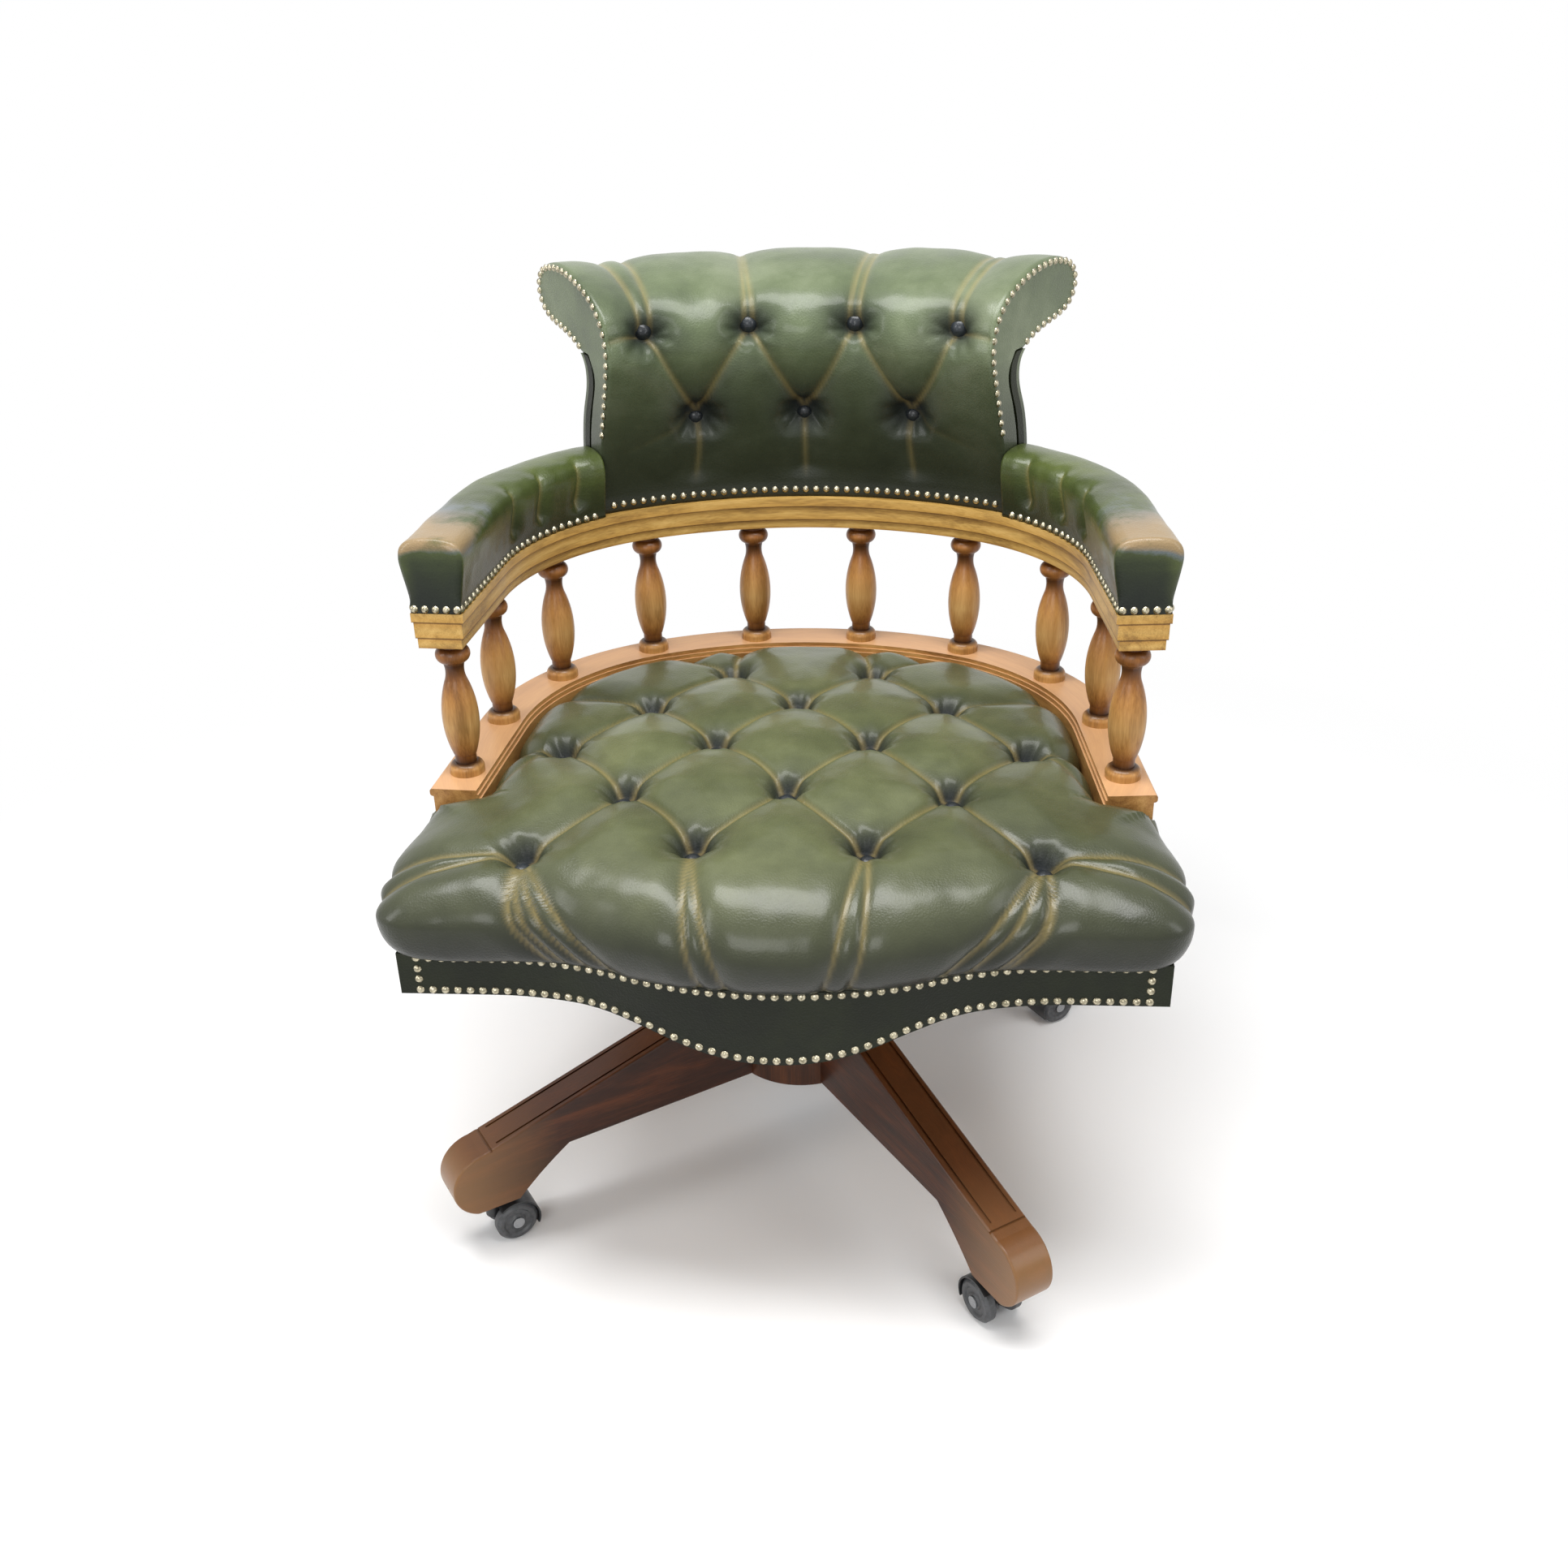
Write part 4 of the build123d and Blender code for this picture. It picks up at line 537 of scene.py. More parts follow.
# %% Draw in the seat
row_y, row_pitch, button_pitch = -0.212, 0.088, 0.138
seat_rows = [(-1.5, -0.5, 0.5, 1.5), (-1, 0, 1), (-1.5, -0.5, 0.5, 1.5), (-1, 0, 1), (-0.5, 0.5)]
seat_buttons = [(row, step, step * button_pitch, row_y + row * row_pitch)
                for row, steps in enumerate(seat_rows) for step in steps]
# The third and fourth values are the spread of the painted shade round a seat pit and its shift towards the
# back
seat_tuft, pit_radius, seat_shade_radius, shade_shift = 0.0235, 0.036, 0.0175, 0.005
fold_depth, fold_width, pleat_depth, pleat_width = 0.0140, 0.050, 0.0068, 0.024
pleat_end, fan_fade, fan_bend = -0.372, 0.35, 0.03
fan_shares = {1.5: (-0.042, -0.012, 0.026, 0.055), 0.5: (-0.016, 0.012)}
side_end, side_rises, side_fade = 0.375, (-0.030, 0.012), 0.3
# The fold where the cushion steps out ahead of the rail: its ends, depth, width and fade
step_start, step_end, step_fold = (0.207, -0.036), (0.330, -0.130), (0.006, 0.026, 0.5)
# Last folds of the outer buttons in rows 2 to 4: x, rise in y, shares of depth and width, fade
rim_folds = {2: [(0.285, 0.012, 0.8, 0.7, 0.2)], 3: [(0.255, 0.045, 0.8, 0.7, 0.2)],
             4: [(0.165, 0.085, 0.8, 0.7, 0.2), (0.060, 0.105, 0.6, 0.6, 0.3)]}
seat_folds = []
for row, step, x, y in seat_buttons:
    side = 1 if step > 0 else -1
    outer = abs(step) == max(seat_rows[row])
    for row2, step2, x2, y2 in seat_buttons:
        if row2 == row + 1 and abs(step - step2) < 1:
            seat_folds.append(fold((x, y), (x2, y2), fold_depth, fold_width))
    if row == 0:
        for spread in fan_shares[abs(step)]:
            end = (x + side * spread, pleat_end)
            seat_folds.append(fold((x, y), end, pleat_depth, pleat_width, fan_fade, fan_bend))
    if row == 0 and outer:
        for rise in side_rises:
            seat_folds.append(fold((x, y), (side * side_end, y + rise), pleat_depth, pleat_width, side_fade))
    if row == 1 and outer:
        start, end = [(side * place_x, place_y) for place_x, place_y in (step_start, step_end)]
        seat_folds.append(fold(start, end, *step_fold))
    if outer:
        for end_x, rise, deep, wide, fade in rim_folds.get(row, ()):
            end = (side * end_x, y + rise)
            seat_folds.append(fold((x, y), end, fold_depth * deep, fold_width * wide, fade))
seat_pits = [(x, y, seat_tuft, pit_radius, seat_shade_radius) for _, _, x, y in seat_buttons]
draw_in(seat, seat_folds, seat_pits, shade_shift)

# %% [markdown]
# ## The back cushion
# The back is a curved pad that leans out over the arm bow and rolls backwards at its top into a scroll. It
# could be sculpted, but its side view is the same all along, so one curve gives it. Places on the curve are
# shares of the back's depth and height.

# %% Side view of the back
bow_top, back_top, back_reach, back_half = 0.5782, 0.804, 0.100, radians(34.0)
rear_inset, front_foot = 0.0152, 0.011
front_shares = [(0.10, 0.672), (0.29, 0.71), (0.55, 0.738), (0.84, 0.772), (0.99, 0.825), (1.03, 0.893),
                (0.95, 0.957), (0.72, 0.997), (0.40, 1.0), (0.04, 0.965), (-0.27, 0.90), (-0.455, 0.806),
                (-0.51, 0.717), (-0.47, 0.606), (-0.36, 0.45), (-0.23, 0.274), (-0.135, 0.14), (-0.11, 0.07)]
core_shares = [(0.24, 0.0), (0.24, 0.08), (0.20, 0.31), (0.11, 0.45), (0.015, 0.55), (0.01, 0.61),
               (0.10, 0.672)]
spine_shares = [(0.55, 0.87), (0.10, 0.80), (-0.17, 0.70), (-0.19, 0.55), (-0.10, 0.35), (0.02, 0.15),
                (0.05, 0.04)]
back_ring_count, spine_count = 250, 200


def side_view(shares, inwards=0.0):
    """Places of the side view in metres, from the middle of the rear arc and from the floor."""
    return [(rear_radius + u * back_reach - inwards, bow_top + v * (back_top - bow_top)) for u, v in shares]


back_front = np.concatenate([smooth(side_view(front_shares)), [(rear_radius - front_foot, bow_top)]])
front_length = even(back_front, 2)[1][-1]
back_ring = np.concatenate([back_front, smooth(side_view(core_shares, rear_inset)), back_front[:1]])
back_ring, ring_at = even(back_ring, back_ring_count + 1)
spine = even(smooth(side_view(spine_shares)), spine_count)[0]
partner = spine[np.argmin(np.linalg.norm(back_ring[:, None] - spine[None], axis=2), axis=1)]
print("leather over the front of the back:", round(float(front_length), 3), "m")

# %% [markdown]
# ## Turning the side view round
# Turning that view about the middle of the rear arc gives the whole front, as Blender's spin would. Here
# the grid does the turning, because the rings also have to round over at both ends and close on the spine
# of the view, across the flat end faces where the nails stand.

# %% Turn the back
back_columns, cap_columns, end_round, flat_radius = 156, 14, 0.0035, 0.310
# Nails hold the leather up to the first height, and glue behind the scroll; past the second it is free
hem_held, hem_free, scroll_held, scroll_free = 0.016, 0.034, 0.004, 0.024
least_depth = 1e-6


def back_place(u, v):
    """Rings of the back from its left end to its right end, with a closed cap on each."""
    column = np.rint(u * (back_columns + 2 * cap_columns))
    index = np.rint(v * back_ring_count).astype(int)
    point, towards = back_ring[index], partner[index] - back_ring[index]
    angle = back_half * np.clip(2 * (column - cap_columns) / back_columns - 1, -1, 1)
    cap = np.maximum(cap_columns - column, column - cap_columns - back_columns).clip(0) / cap_columns
    to_end = np.clip((back_half - np.abs(angle)) * rear_radius / end_round, 0, 1)
    rounded = end_round * (1 - np.sqrt(1 - (1 - to_end) ** 2))
    depth = np.linalg.norm(towards, axis=1)
    shift = np.minimum(rounded + (depth - rounded) * cap, depth)
    out, z = (point + towards / np.maximum(depth, least_depth)[:, None] * shift[:, None]).T
    stands = np.column_stack([out * np.sin(angle), rear_centre_y + out * np.cos(angle), z])
    along = ring_at[index]
    free = step_up(z, bow_top + hem_held, bow_top + hem_free) * (along < front_length) * (cap == 0)
    free = free * step_up(along, scroll_held, scroll_free) * step_up(to_end * end_round, 0, end_round)
    return stands, np.column_stack([angle * flat_radius, along, free])


back = skin("back_leather", back_columns + 2 * cap_columns, back_ring_count, back_place)

# %% [markdown]
# ## Buttons and folds of the back
# Four buttons stand above three. Folds join them in diamonds, run in pairs from the upper ones over the
# scroll, and go sideways to the nailed ends and down to the bow. They are listed as those of the seat are.
# On the flat leather the first measure runs sideways, and the second starts behind the scroll and runs over
# its top and down the front.

# %% Draw in the back
turn_pitch, upper_z, lower_z, hem_fold_up, scroll_s = radians(17.4), 0.751, 0.663, 0.022, 0.035
# The last value is the spread of the painted shade round a back pit
back_tuft, back_pit_radius, back_shade_radius = 0.0195, 0.037, 0.0255
front_z = back_ring[:, 1][ring_at < front_length]
after_top = np.argmax(front_z)


def down_front(z):
    """Distance along the front leather, past the top of the scroll, where it has come down to z."""
    return float(ring_at[after_top + np.argmin(np.abs(front_z[after_top:] - z))])


upper_s, lower_s, hem_s = [down_front(z) for z in (upper_z, lower_z, bow_top + hem_fold_up)]
back_buttons = [(step, upper_s) for step in (-1.5, -0.5, 0.5, 1.5)]
back_buttons += [(step, lower_s) for step in (-1, 0, 1)]
back_at = [(step * turn_pitch * flat_radius, s) for step, s in back_buttons]
pair_half, end_x, end_drop, hem_spread = 0.0045, back_half * flat_radius, 0.004, 1.03
short_x, short_s = 0.075, 0.030
# Depth, width, fade and bend of each kind of fold
diamond_fold, pair_fold, end_fold = (0.0112, 0.040), (0.0060, 0.030, 0.2, 0.02), (0.0050, 0.024, 0.3)
hem_fold, short_fold = (0.0052, 0.034, 0.45), (0.0030, 0.028, 1.0)
back_folds = []
for (step, s), (x, _) in zip(back_buttons, back_at):
    side = 1 if step > 0 else -1
    for (step2, s2), (x2, _) in zip(back_buttons, back_at):
        if s < s2 and abs(step - step2) < 1:
            back_folds.append(fold((x, s), (x2, s2), *diamond_fold))
    if s == upper_s:
        for shift in (-pair_half, pair_half):
            back_folds.append(fold((x + shift, s), (x + shift, scroll_s), *pair_fold))
    if abs(step) == 1.5:
        back_folds.append(fold((x, s), (side * end_x, s + end_drop), *end_fold))
    if s == lower_s:
        back_folds.append(fold((x, s), (x * hem_spread, hem_s), *hem_fold))
    if abs(step) == 1:
        back_folds.append(fold((x, s), (x + side * short_x, s + short_s), *short_fold))
back_pits = [(x, s, back_tuft, back_pit_radius, back_shade_radius) for x, s in back_at]
draw_in(back, back_folds, back_pits, -shade_shift)

# %% [markdown]
# ## The arm pads
# Each arm carries a long pad on the bow, nailed along both lower edges. A bevelled curve could make such a
# bar, but its ends would be square to the curve. Here one section is carried along the horseshoe, from the
# plane of the back's end face to a flat front face, and the rings close on the middle of the section.

# %% Lay out the arm pads
pad_gap, pad_lift, bow_offset, arm_front_y = 0.0006, 0.0004, 0.003, -0.088
pad_columns, front_columns, pad_ring_count = 170, 16, 96
pad_half = [(0.0215, 0.0), (0.0216, 0.0070), (0.0226, 0.0140), (0.0244, 0.0240), (0.0264, 0.0350),
            (0.0276, 0.0460), (0.0256, 0.0550), (0.0196, 0.0604), (0.0100, 0.0628), (0.0, 0.0634)]
pad_edge_round, pad_face_bulge = 0.0045, 0.0010
sharp_below, round_above = 0.006, 0.014
# Nails hold the leather low on the section, at the front face and next to the back, and it comes free here
nailed_below, free_above, front_free, rear_free = 0.010, 0.022, 0.012, 0.05
halvings = 30
right_half = smooth(pad_half)
whole_section = np.concatenate([right_half, (right_half * (-1, 1))[::-1], right_half[:1]])
pad_ring, pad_at = even(whole_section, pad_ring_count + 1)
pad_middle = np.array([0.0, 0.032])


def pad_start(offset):
    """Distance along the horseshoe at which each offset meets the plane of the back's end face."""
    low, high = np.full(len(offset), rear_length), np.full(len(offset), rear_length + corner_length)
    for _ in range(halvings):
        middle = (low + high) / 2
        x, y, _ = walk(middle, offset)
        short = np.arctan2(x, y - rear_centre_y) < back_half + pad_gap / rear_radius
        low, high = np.where(short, middle, low), np.where(short, high, middle)
    return low


def pad_place(side):
    """The place function of the left or the right pad."""
    end = distance_at(arm_front_y, bow_offset)

    def place(u, v):
        column = np.rint(u * (pad_columns + 2 * front_columns))
        index = np.rint(v * pad_ring_count).astype(int)
        share = np.clip((column - front_columns) / pad_columns, 0, 1)
        cap = np.maximum(front_columns - column, column - front_columns - pad_columns).clip(0) / front_columns
        at_front = column > front_columns
        ring = pad_ring[index]
        start = pad_start(bow_offset + ring[:, 0])
        distance = start + (end - start) * share
        left = (end - distance).clip(0)
        bent = np.clip(left / pad_edge_round, 0, 1)
        low = 1 - step_up(ring[:, 1], sharp_below, round_above)
        rounded = pad_edge_round * (1 - np.sqrt(1 - (1 - bent) ** 2)) * (1 - low) * at_front
        reach = np.linalg.norm(ring - pad_middle, axis=1)
        scale = (1 - rounded / reach) * (1 - cap)
        section = pad_middle + (ring - pad_middle) * scale[:, None]
        face = np.where(at_front, pad_face_bulge * (1 - (1 - cap) ** 2), 0)
        x, y, _ = walk(distance, bow_offset + section[:, 0])
        x0, y0, _ = walk(pad_start(bow_offset + section[:, 0]), bow_offset + section[:, 0])
        x = np.where(share == 0, x0, x + face * sin(flare))
        y = np.where(share == 0, y0, y - face * cos(flare))
        free = step_up(section[:, 1], nailed_below, free_above) * (cap == 0)
        free = free * step_up(left, 0.0, front_free) * step_up(share, 0, rear_free)
        stands = np.column_stack([side * x, y, bow_top + pad_lift + section[:, 1]])
        return stands, np.column_stack([distance, pad_at[index], free])

    return place


arm_pads = [skin("arm_leather_" + name, pad_columns + 2 * front_columns, pad_ring_count, pad_place(side))
            for side, name in ((-1, "left"), (1, "right"))]

# %% [markdown]
# ## Pleats and worn leather on the arms
# On the inside of the bend the leather has too much length, and the upholsterer lays it in three upright
# pleats, which are folds like those of the seat. Hands and sleeves rub the dye away at the front of an arm,
# most on its top and outer edge. That could be painted on by hand. Here a value from 0 to 1 says how worn
# each point is, and the leather's material shows grey where it is half worn and tan where it is worn
# through. The front face is not worn, and shade is painted dark on it.

# %% Pleat and wear the arms
pleat_angles = [radians(50.0), radians(64.0), radians(78.0)]
pleat_lean, pad_pleat = 0.004, (0.0058, 0.020, 0.35, 0.04)
inner_hem, inner_top = pad_at[-1] - 0.055, pad_at[-1] - 0.105
front_band, top_band, outer_band = (-0.120, 0.080), (bow_top + 0.034, bow_top + 0.058), (0.285, 0.320)
face_band, face_top_band = (0.0860, 0.0880), (bow_top + 0.042, bow_top + 0.058)
top_wear, outer_wear, face_shade = 0.72, 0.16, 0.60
for pad in arm_pads:
    pleats = []
    for angle in pleat_angles:
        at = rear_length + (angle - rear_half) * side_radius
        pleats.append(fold((at, inner_hem), (at - pleat_lean, inner_top), *pad_pleat))
    draw_in(pad, pleats, [])
    x, y, z = read(pad.data.vertices, "co", 3).T
    rubbed = step_up(-y, *front_band) * step_up(z, *top_band)
    front_face = step_up(-y, *face_band) * (1 - step_up(z, *face_top_band))
    worn = top_wear + outer_wear * step_up(np.abs(x), *outer_band)
    point_values(pad.data, "wear", rubbed * worn * (1 - front_face))
    # Shade is painted dark on the front face, through the pit value
    point_values(pad.data, "pit", face_shade * front_face)

# %% [markdown]
# ## Leather in place of the solids
# The frame has a hard solid for every stuffed piece. Each skin takes its solid's place and moves with the
# seat, and the list gives the share of its inside that stuffing fills. The solids stay in the frame unseen,
# because they are what other things touch.

# %% Put the leather on the frame
coverings = [(seat, "seat_cushion", seat_hide, "seat_leather", 0.75),
             (back, "back_cushion", back_hide, "seat_leather", 0.75),
             (arm_pads[0], "arm_pad_left", arm_hide, "arm_leather", 0.9),
             (arm_pads[1], "arm_pad_right", arm_hide, "arm_leather", 0.9)]
for skin_made, node, hide, slot_name, fill in coverings:
    skin_made.data.materials.append(hide)
    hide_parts(node)
    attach(skin_made, "seat")
    low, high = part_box(node)
    spare = [round(1000 * (max(c[k] for c in skin_made.bound_box) - high[k]), 1) for k in range(3)]
    print(skin_made.name, "stands past its solid by", spare, "mm at the high corner")

# %% [markdown]
# ## Polished wood
# Wood grain is noise drawn out along the piece. The rail and the bow are bent pieces, so their grain runs
# round the chair, which the angle about the middle gives. The spindles stand upright and each leg points
# its own way, so every kind has its own direction of grain and the same recipe after it. Scanned wood could
# be laid on instead, but it would show a seam where it meets itself round a bow.

# %% Wood material
round_radius = 0.30
# In repeats for each metre: growth rings show 16 mm apart and run 140 mm, and fibres are drawn 1.1 mm wide,
# far coarser than real ones, so that they show
grain_along, grain_across, fibre_across = 7.0, 62.0, 900.0
fibre_depth, ring_share = 0.00012, 0.75
toe_from, toe_to, toe_share, highlight_from, highlight_to = 0.27, 0.375, 0.62, 0.6, 0.98
wood_specular, polish_rough = 0.3, 0.18


def grain_place(tree, place, direction):
    """Coordinates whose first axis runs along the grain."""
    x, y, z = add(tree, "SeparateXYZ", place).outputs
    if direction == "round":
        angle = add(tree, "Math", x, y, operation="ARCTAN2")
        along = add(tree, "Math", angle, round_radius, operation="MULTIPLY")
        squares = [add(tree, "Math", side, 2.0, operation="POWER") for side in (x, y)]
        radius = add(tree, "Math", add(tree, "Math", *squares, operation="ADD"), operation="SQRT")
        return add(tree, "CombineXYZ", along, radius, z)
    if direction == "up":
        return add(tree, "CombineXYZ", z, x, y)
    return add(tree, "VectorRotate", place, Angle=-direction)


def wood(name, pale, mid, dark, direction, gloss, top_highlight=None, bands=None, span=None, toes=None,
         coat=0.12, lift=0.72):
    """Wood with its grain along a direction, if need be bands over a span of height, and a painted top
    highlight.
    """
    material, tree, shader, place = begin(name)
    along = grain_place(tree, place, direction)
    rings, threads = (grain_along, grain_across, grain_across), (grain_across, fibre_across, fibre_across)
    stretched = add(tree, "VectorMath", along, rings, operation="MULTIPLY")
    fine = add(tree, "VectorMath", along, threads, operation="MULTIPLY")
    growth = add(tree, "TexNoise", stretched, Scale=1.0, Detail=4.0, Roughness=0.6, Distortion=0.6)
    fibres = add(tree, "TexNoise", fine, Scale=1.0, Detail=2.0)
    mixed = weighted(tree, growth, ring_share, fibres)
    colour = add(tree, "ValToRGB", mixed, stops=[(0.34, dark), (0.50, mid), (0.66, pale)])
    if bands:
        height = add(tree, "SeparateXYZ", place).outputs["Z"]
        level = add(tree, "MapRange", height, From_Min=span[0], From_Max=span[1])
        tint = add(tree, "ValToRGB", level, stops=bands)
        colour = add(tree, "Mix", 1.0, data_type="RGBA", blend_type="MULTIPLY", i6=colour, i7=tint)
    if toes:
        over_floor = add(tree, "VectorMath", place, (1.0, 1.0, 0.0), operation="MULTIPLY")
        reach = add(tree, "VectorMath", over_floor, operation="LENGTH")
        worn = add(tree, "MapRange", reach, From_Min=toe_from, From_Max=toe_to, To_Max=toe_share)
        colour = add(tree, "Mix", worn, data_type="RGBA", i6=colour, i7=toes)
    # Painted highlight: faces that look up are drawn paler, as if lit from above
    if top_highlight:
        facing = add(tree, "SeparateXYZ", add(tree, "NewGeometry").outputs["Normal"]).outputs["Z"]
        upward = add(tree, "MapRange", facing, From_Min=highlight_from, From_Max=highlight_to, To_Max=lift)
        colour = add(tree, "Mix", upward, data_type="RGBA", i6=colour, i7=top_highlight)
    relief = add(tree, "Bump", Strength=1.0, Distance=fibre_depth, Height=fibres)
    add(tree, shader, Base_Color=colour, Normal=relief, Roughness=gloss, Specular_IOR_Level=wood_specular,
        Coat_Weight=coat, Coat_Roughness=polish_rough)
    return material


print("wood fibres are drawn", round(1000 / fibre_across, 2), "mm wide")

# %% [markdown]
# ## The woods of this chair
# What shows is beech: bent, turned, or stained dark for the base. The boards under the leather are raw birch
# plywood. A base colour alone would look like plastic, so the steps of the bow and the necks of the spindles
# are drawn darker, the rail and the legs get a painted highlight on faces that look up, and the toes are
# rubbed paler.

# %% Woods
seat_span, bow_span = (0.425, 0.5475), (0.5475, 0.5782)
bow_bands = [(0.0, "#d8c8b0"), (0.10, "#ffffff"), (0.25, "#f0e4d0"), (0.285, "#6a5034"), (0.32, "#f6ecd8"),
             (0.50, "#ffffff"), (0.70, "#f0e4d0"), (0.735, "#6a5034"), (0.77, "#f6ecd8"), (1.0, "#ffffff")]
spindle_bands = [(0.0, "#f4ece0"), (0.060, "#f0e2d0"), (0.085, "#483220"), (0.14, "#a98a6c"),
                 (0.24, "#eeddc8"), (0.40, "#ffffff"), (0.58, "#eeddc6"), (0.74, "#b8987a"),
                 (0.83, "#6a4c36"), (0.87, "#b4947a"), (0.92, "#caab8c"), (0.96, "#78583e"), (1.0, "#8a6a4e")]
first_leg, leg_step = -146.0, 90.0
# Beech, steam-bent, stained golden brown and French polished: warm, with long grain and a clear gloss
# The rail also gets a painted highlight on faces that look up
rail_wood = wood("rail_beech_polished", "#c4975a", "#a97a44", "#7e552c", "round", 0.38, "#c89c74")
bow_wood = wood("bow_beech_polished", "#d6b06a", "#bf9852", "#8f6c38", "round", 0.38,
                bands=bow_bands, span=bow_span)
# Beech, turned on a lathe and polished: upright grain, with darker and paler bands up its height
spindle_wood = wood("spindle_beech_turned", "#cba265", "#b58a52", "#8e6838", "up", 0.36,
                    bands=spindle_bands, span=seat_span)
# Beech, stained dark red-brown and polished: nearly black below, a painted highlight on top, worn to tan on
# the toes
leg_woods = [wood(f"leg_beech_stained_{k + 1}", "#542a10", "#371908", "#241005",
                  radians(first_leg + leg_step * k), 0.34, "#64391b", toes="#9a6f42", coat=0.14, lift=0.5)
             for k in range(4)]
hub_wood = wood("hub_beech_stained", "#583015", "#3e200d", "#2a1407", "up", 0.34)
# Birch plywood, sawn and left raw: pale and without gloss
raw_wood = wood("birch_raw", "#c9a878", "#b89468", "#a07e54", "round", 0.6, coat=0.0)
print("wood materials:", [m.name for m in bpy.data.materials if "beech" in m.name or "birch" in m.name])

# %% [markdown]
# ## Metal and plastic
# The mechanism is pressed and turned steel under black paint, with the sliding parts left bright. The
# upholstery nails are brass, domed by a press and darkened by age. The castors have nylon hoods and
# polyurethane wheels. One flat colour each would do from afar, but uneven colour and sheen of a few
# millimetres keep them from looking like toys close by.

# %% Metal and plastic materials
sheen_swing, relief_finer, relief_depth = 0.16, 6, 0.00005


def plain(name, pale, dark, metal, rough, scale, stretch=(1.0, 1.0, 1.0)):
    """Metal or plastic with fine uneven colour, sheen and relief, in scale repeats for each metre."""
    material, tree, shader, place = begin(name)
    drawn = add(tree, "VectorMath", place, stretch, operation="MULTIPLY")
    cloud = add(tree, "TexNoise", drawn, Scale=scale, Detail=3.0)
    colour = add(tree, "ValToRGB", cloud, stops=[(0.35, dark), (0.65, pale)])
    swing = add(tree, "Math", cloud, sheen_swing, operation="MULTIPLY")
    rough_here = add(tree, "Math", swing, rough - sheen_swing / 2, operation="ADD")
    bumps = add(tree, "TexNoise", drawn, Scale=scale * relief_finer, Detail=3.0)
    relief = add(tree, "Bump", Strength=1.0, Distance=relief_depth, Height=bumps)
    add(tree, shader, Base_Color=colour, Metallic=metal, Roughness=rough_here, Normal=relief)
    return material


# Brass, pressed into domes and aged: small soft highlights, more straw than gold, in spots of 2.4 mm
aged_brass = plain("nail_brass_aged", "#c4bca4", "#857e69", 1.0, 0.28, 420.0)
# Steel sheet and castings under satin black paint: soft grey highlights on a fine orange peel of 0.9 mm
black_steel = plain("steel_black_painted", "#26272a", "#1b1c1f", 0.0, 0.42, 180.0)
# Steel, turned and left bright with a little oil: grey, with fine lines round each part, 0.3 mm apart
bright_steel = plain("steel_bright_turned", "#a9abad", "#8e9093", 1.0, 0.3, 300.0, (1.0, 1.0, 12.0))
# Nylon, moulded black: dark, with the soft shine that a matt mould leaves, in a grain of 0.6 mm
black_nylon = plain("nylon_black_moulded", "#242527", "#1a1b1d", 0.0, 0.4, 260.0)
# Polyurethane, moulded grey-black: a little paler and duller than the nylon
wheel_polyurethane = plain("polyurethane_wheel", "#4a4b4d", "#38393b", 0.0, 0.45, 260.0)
print("all materials so far:", len(bpy.data.materials))

# %% [markdown]
# ## A finish for every hard piece
# Each node of the frame names a material slot, and most pieces take the finish of their slot. A few differ
# from it, as the pieces of a real chair differ within one material: the bow is paler than the rail, each
# leg has its own direction of grain, and the buttons have a hide of their own.

# %% Finish the hard pieces
finishes = {"frame_wood": rail_wood, "base_wood": hub_wood, "inner_wood": raw_wood, "seat_leather": seat_hide,
            "dark_leather": band_hide, "arm_leather": arm_hide, "nail_brass": aged_brass,
            "black_steel": black_steel, "bright_steel": bright_steel, "black_plastic": black_nylon,
            "wheel_plastic": wheel_polyurethane}
# The back's cover is of the same hide as its front, and the dark hide wraps the ends of its board
special = {"arm_bow": bow_wood, "back_cover": back_hide, "back_board": band_hide,
           "tufting_buttons": button_hide}
special.update({f"leg_{k + 1}": leg_wood for k, leg_wood in enumerate(leg_woods)})
special.update({name: spindle_wood for name in nodes if name.startswith("spindle")})
for name, obj in nodes.items():
    finish = special.get(name) or finishes[slot_of[name]]
    if obj.material_slots:
        for place in obj.material_slots:
            place.material = finish
    else:
        obj.data.materials.append(finish)
print("finished", len(nodes), "pieces with", len(set(finishes.values()) | set(special.values())), "materials")

# %% [markdown]
# ## The spring under the seat
# When the sitter leans back, the tension bolt lifts and the coil spring is pressed against the cradle. A
# coil that only rode on one of them would come away from the other. The frame's coil is hard, so it is hidden
# and a copy of it, with its place baked into its points, stands in for it.

# %% Copy the spring
spring = bpy.data.objects.new("spring_coil", nodes["tension_spring"].data.copy())
bpy.context.scene.collection.objects.link(spring)
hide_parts("tension_spring")
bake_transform(spring)

# %% [markdown]
# ## The floor
# The chair stands on a wide sheet of pale paper, which catches its shadow. A curved backdrop could hide the
# horizon, but it would show in views from other sides. So the paper turns to plain white light further out
# and runs into the white of the world without an edge.

# %% Floor
floor_half, fade_from, fade_to = 6.0, 0.40, 1.35
# Studio paper, matt and nearly white: soft shadows and no shine
paper, tree, shader, place = begin("paper_floor")
cloud = add(tree, "TexNoise", place, Scale=3.0, Detail=3.0)
colour = add(tree, "ValToRGB", cloud, stops=[(0.3, "#fafafa"), (0.7, "#fdfdfd")])
add(tree, shader, Base_Color=colour, Roughness=0.9)
away = add(tree, "VectorMath", place, operation="LENGTH")
away = add(tree, "MapRange", away, From_Min=fade_from, From_Max=fade_to)
white = add(tree, "Emission", "#ffffff", Strength=1.0)
add(tree, tree.nodes["Material Output"], Surface=add(tree, "MixShader", away, shader, white))

floor_mesh = bpy.data.meshes.new("floor")
bm = bmesh.new()
bmesh.ops.create_grid(bm, x_segments=1, y_segments=1, size=floor_half)
bm.to_mesh(floor_mesh)
bm.free()
floor = bpy.data.objects.new("floor", floor_mesh)
floor.data.materials.append(paper)
bpy.context.scene.collection.objects.link(floor)
print("the floor is plain white from", fade_to, "m outwards")

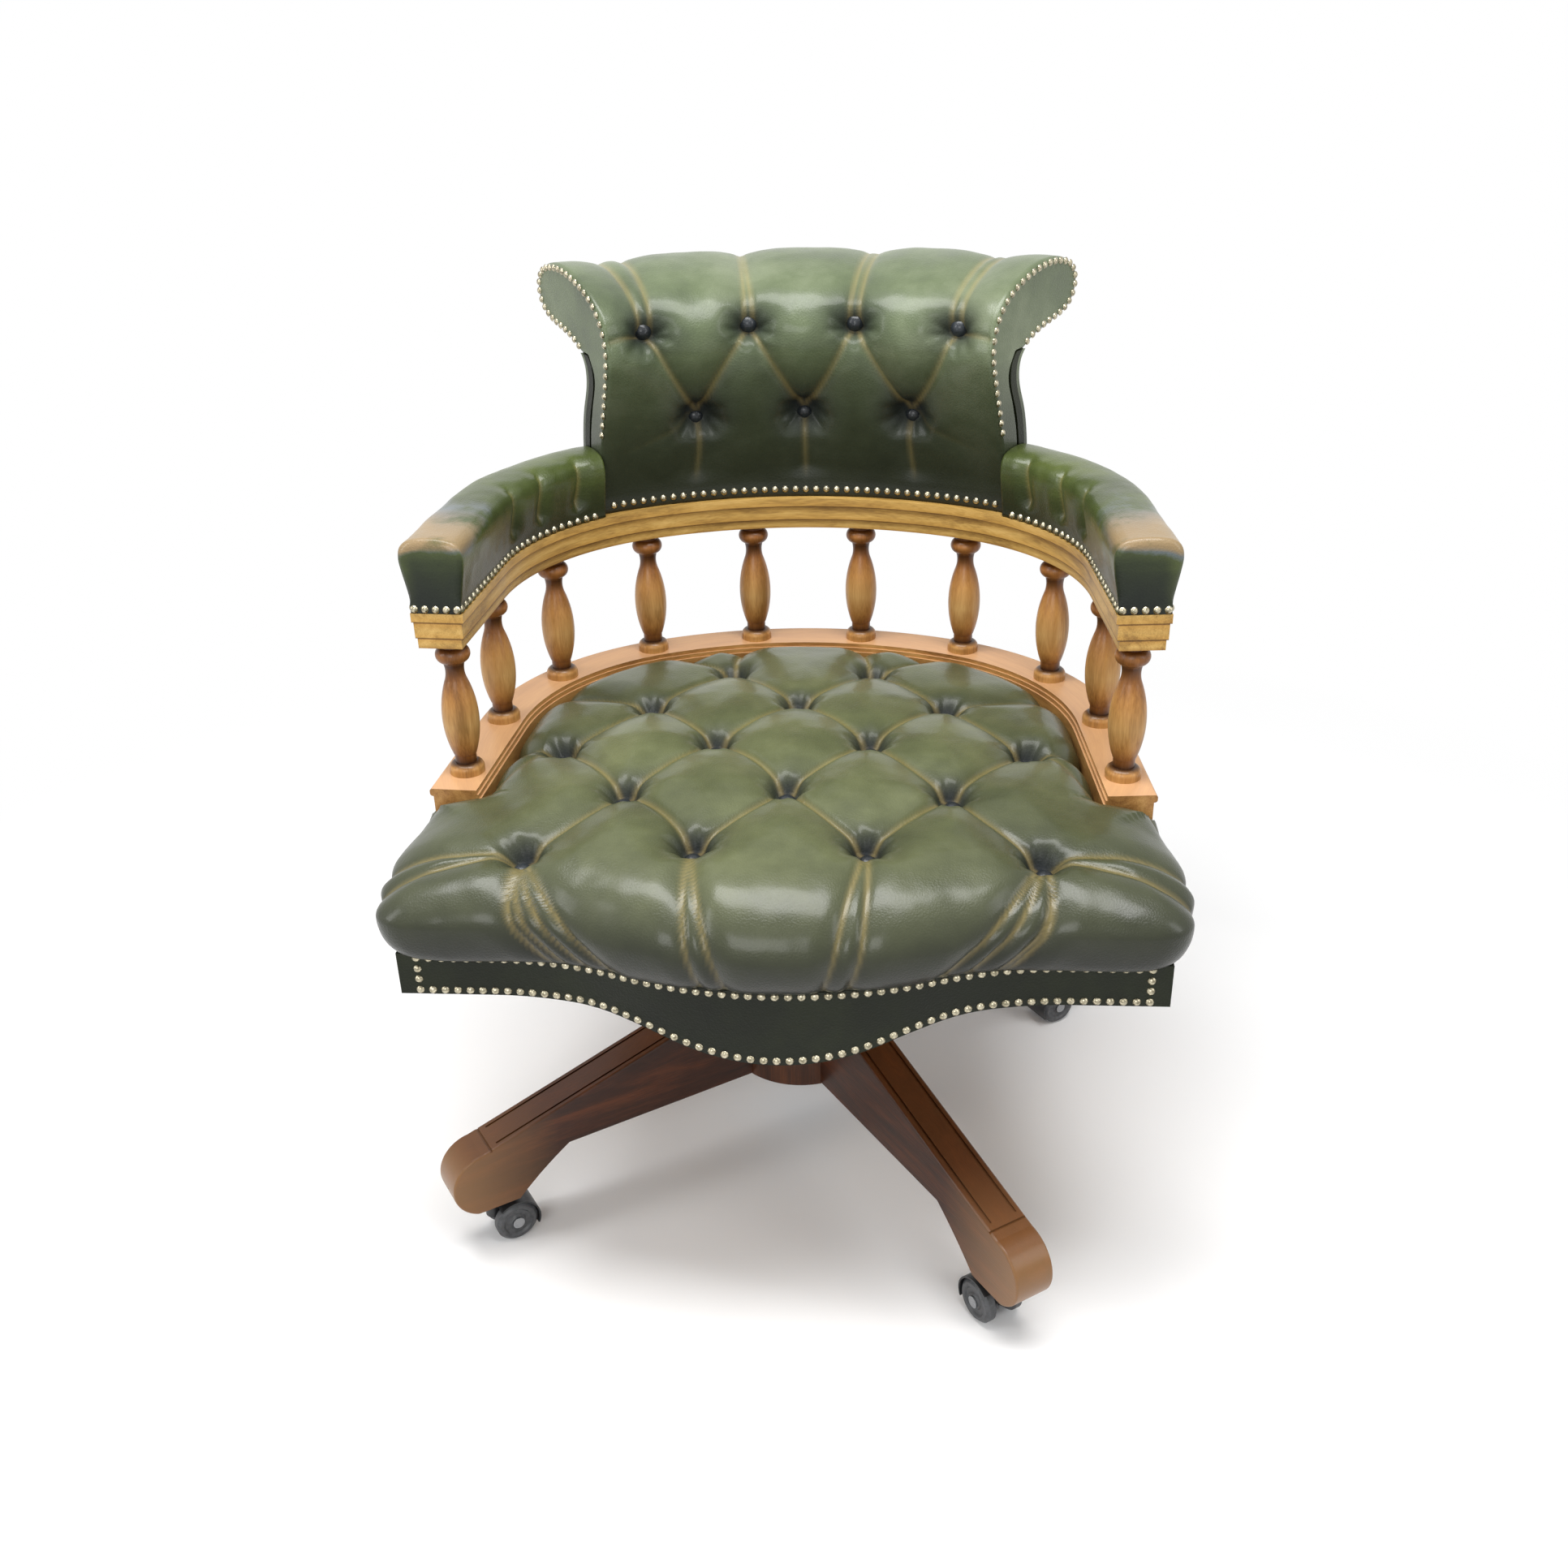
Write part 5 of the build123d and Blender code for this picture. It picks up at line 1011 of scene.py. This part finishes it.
# %% [markdown]
# ## Light and background
# A long soft lamp hangs above the front of the seat, as in a studio, and gives leather and polish their
# broad shine. A weak one stands behind the camera, and a tall one on each side draws the edges. The world
# could light everything alone, but then nothing would shine. The camera, and mirrors and glass, see plain
# white behind the chair, while the light that the world gives is weaker and slightly blue.

# %% Lamps and world
# Name, place, size across and up, and power in watts
lamps = [("above", (-0.10, -0.36, 2.4), (2.3, 0.75), 66.0), ("front", (-0.35, -2.1, 1.35), (1.0, 0.9), 14.0),
         ("left", (-2.2, -1.0, 1.5), (0.5, 1.6), 15.0), ("right", (2.2, -1.0, 1.5), (0.5, 1.6), 11.0)]
lamp_aim = Vector((0, 0, 0.45))
for name, place, size, power in lamps:
    light = bpy.data.lights.new(name, "AREA")
    light.shape, light.energy = "RECTANGLE", power
    light.size, light.size_y = size
    lamp = bpy.data.objects.new(name, light)
    lamp.location = place
    lamp.rotation_euler = (lamp_aim - Vector(place)).to_track_quat("-Z", "Y").to_euler()
    bpy.context.scene.collection.objects.link(lamp)

world = bpy.data.worlds.new("studio")
bpy.context.scene.world = world
world.use_nodes = True
tree = world.node_tree
tree.nodes.clear()
ray = add(tree, "LightPath").outputs
mirrored = add(tree, "Math", ray["Is Glossy Ray"], ray["Is Transmission Ray"], operation="MAXIMUM")
seen = add(tree, "Math", ray["Is Camera Ray"], mirrored, operation="MAXIMUM")
soft = add(tree, "Background", "#f4f6f8", Strength=0.33)
white = add(tree, "Background", "#ffffff", Strength=1.0)
add(tree, "OutputWorld", add(tree, "MixShader", seen, soft, white))
bpy.context.scene.view_settings.view_transform = "Standard"
print("lamps:", [name for name, *_ in lamps])

# %% [markdown]
# ## The camera
# The photograph was taken from about a metre above the floor and well in front of the chair, a little to
# the right of its middle, looking down at the seat. The camera could be moved by eye until it fits. Here
# place, turn, pitch, roll and lens were found by matching measured places on the chair.

# %% Camera
camera_place, camera_yaw, camera_pitch, camera_roll = (0.08582, -1.27569, 1.03624), 0.0760, 0.4751, -0.0262
camera_lens, sensor_width, sight = 35.870, 36.0, 50.0
level = Vector((-sin(camera_yaw), cos(camera_yaw), 0))
right_level = Vector((cos(camera_yaw), sin(camera_yaw), 0))
forward = cos(camera_pitch) * level - sin(camera_pitch) * Vector((0, 0, 1))
up_level = sin(camera_pitch) * level + cos(camera_pitch) * Vector((0, 0, 1))
right = cos(camera_roll) * right_level + sin(camera_roll) * up_level
up = cos(camera_roll) * up_level - sin(camera_roll) * right_level
camera_data = bpy.data.cameras.new("camera")
camera_data.lens, camera_data.sensor_width, camera_data.clip_end = camera_lens, sensor_width, sight
camera = bpy.data.objects.new("camera", camera_data)
camera.matrix_world = Matrix.Translation(camera_place) @ Matrix((right, up, -forward)).transposed().to_4x4()
bpy.context.scene.collection.objects.link(camera)
bpy.context.scene.camera = camera
print("camera at", camera_place, "with a", camera_lens, "mm lens")
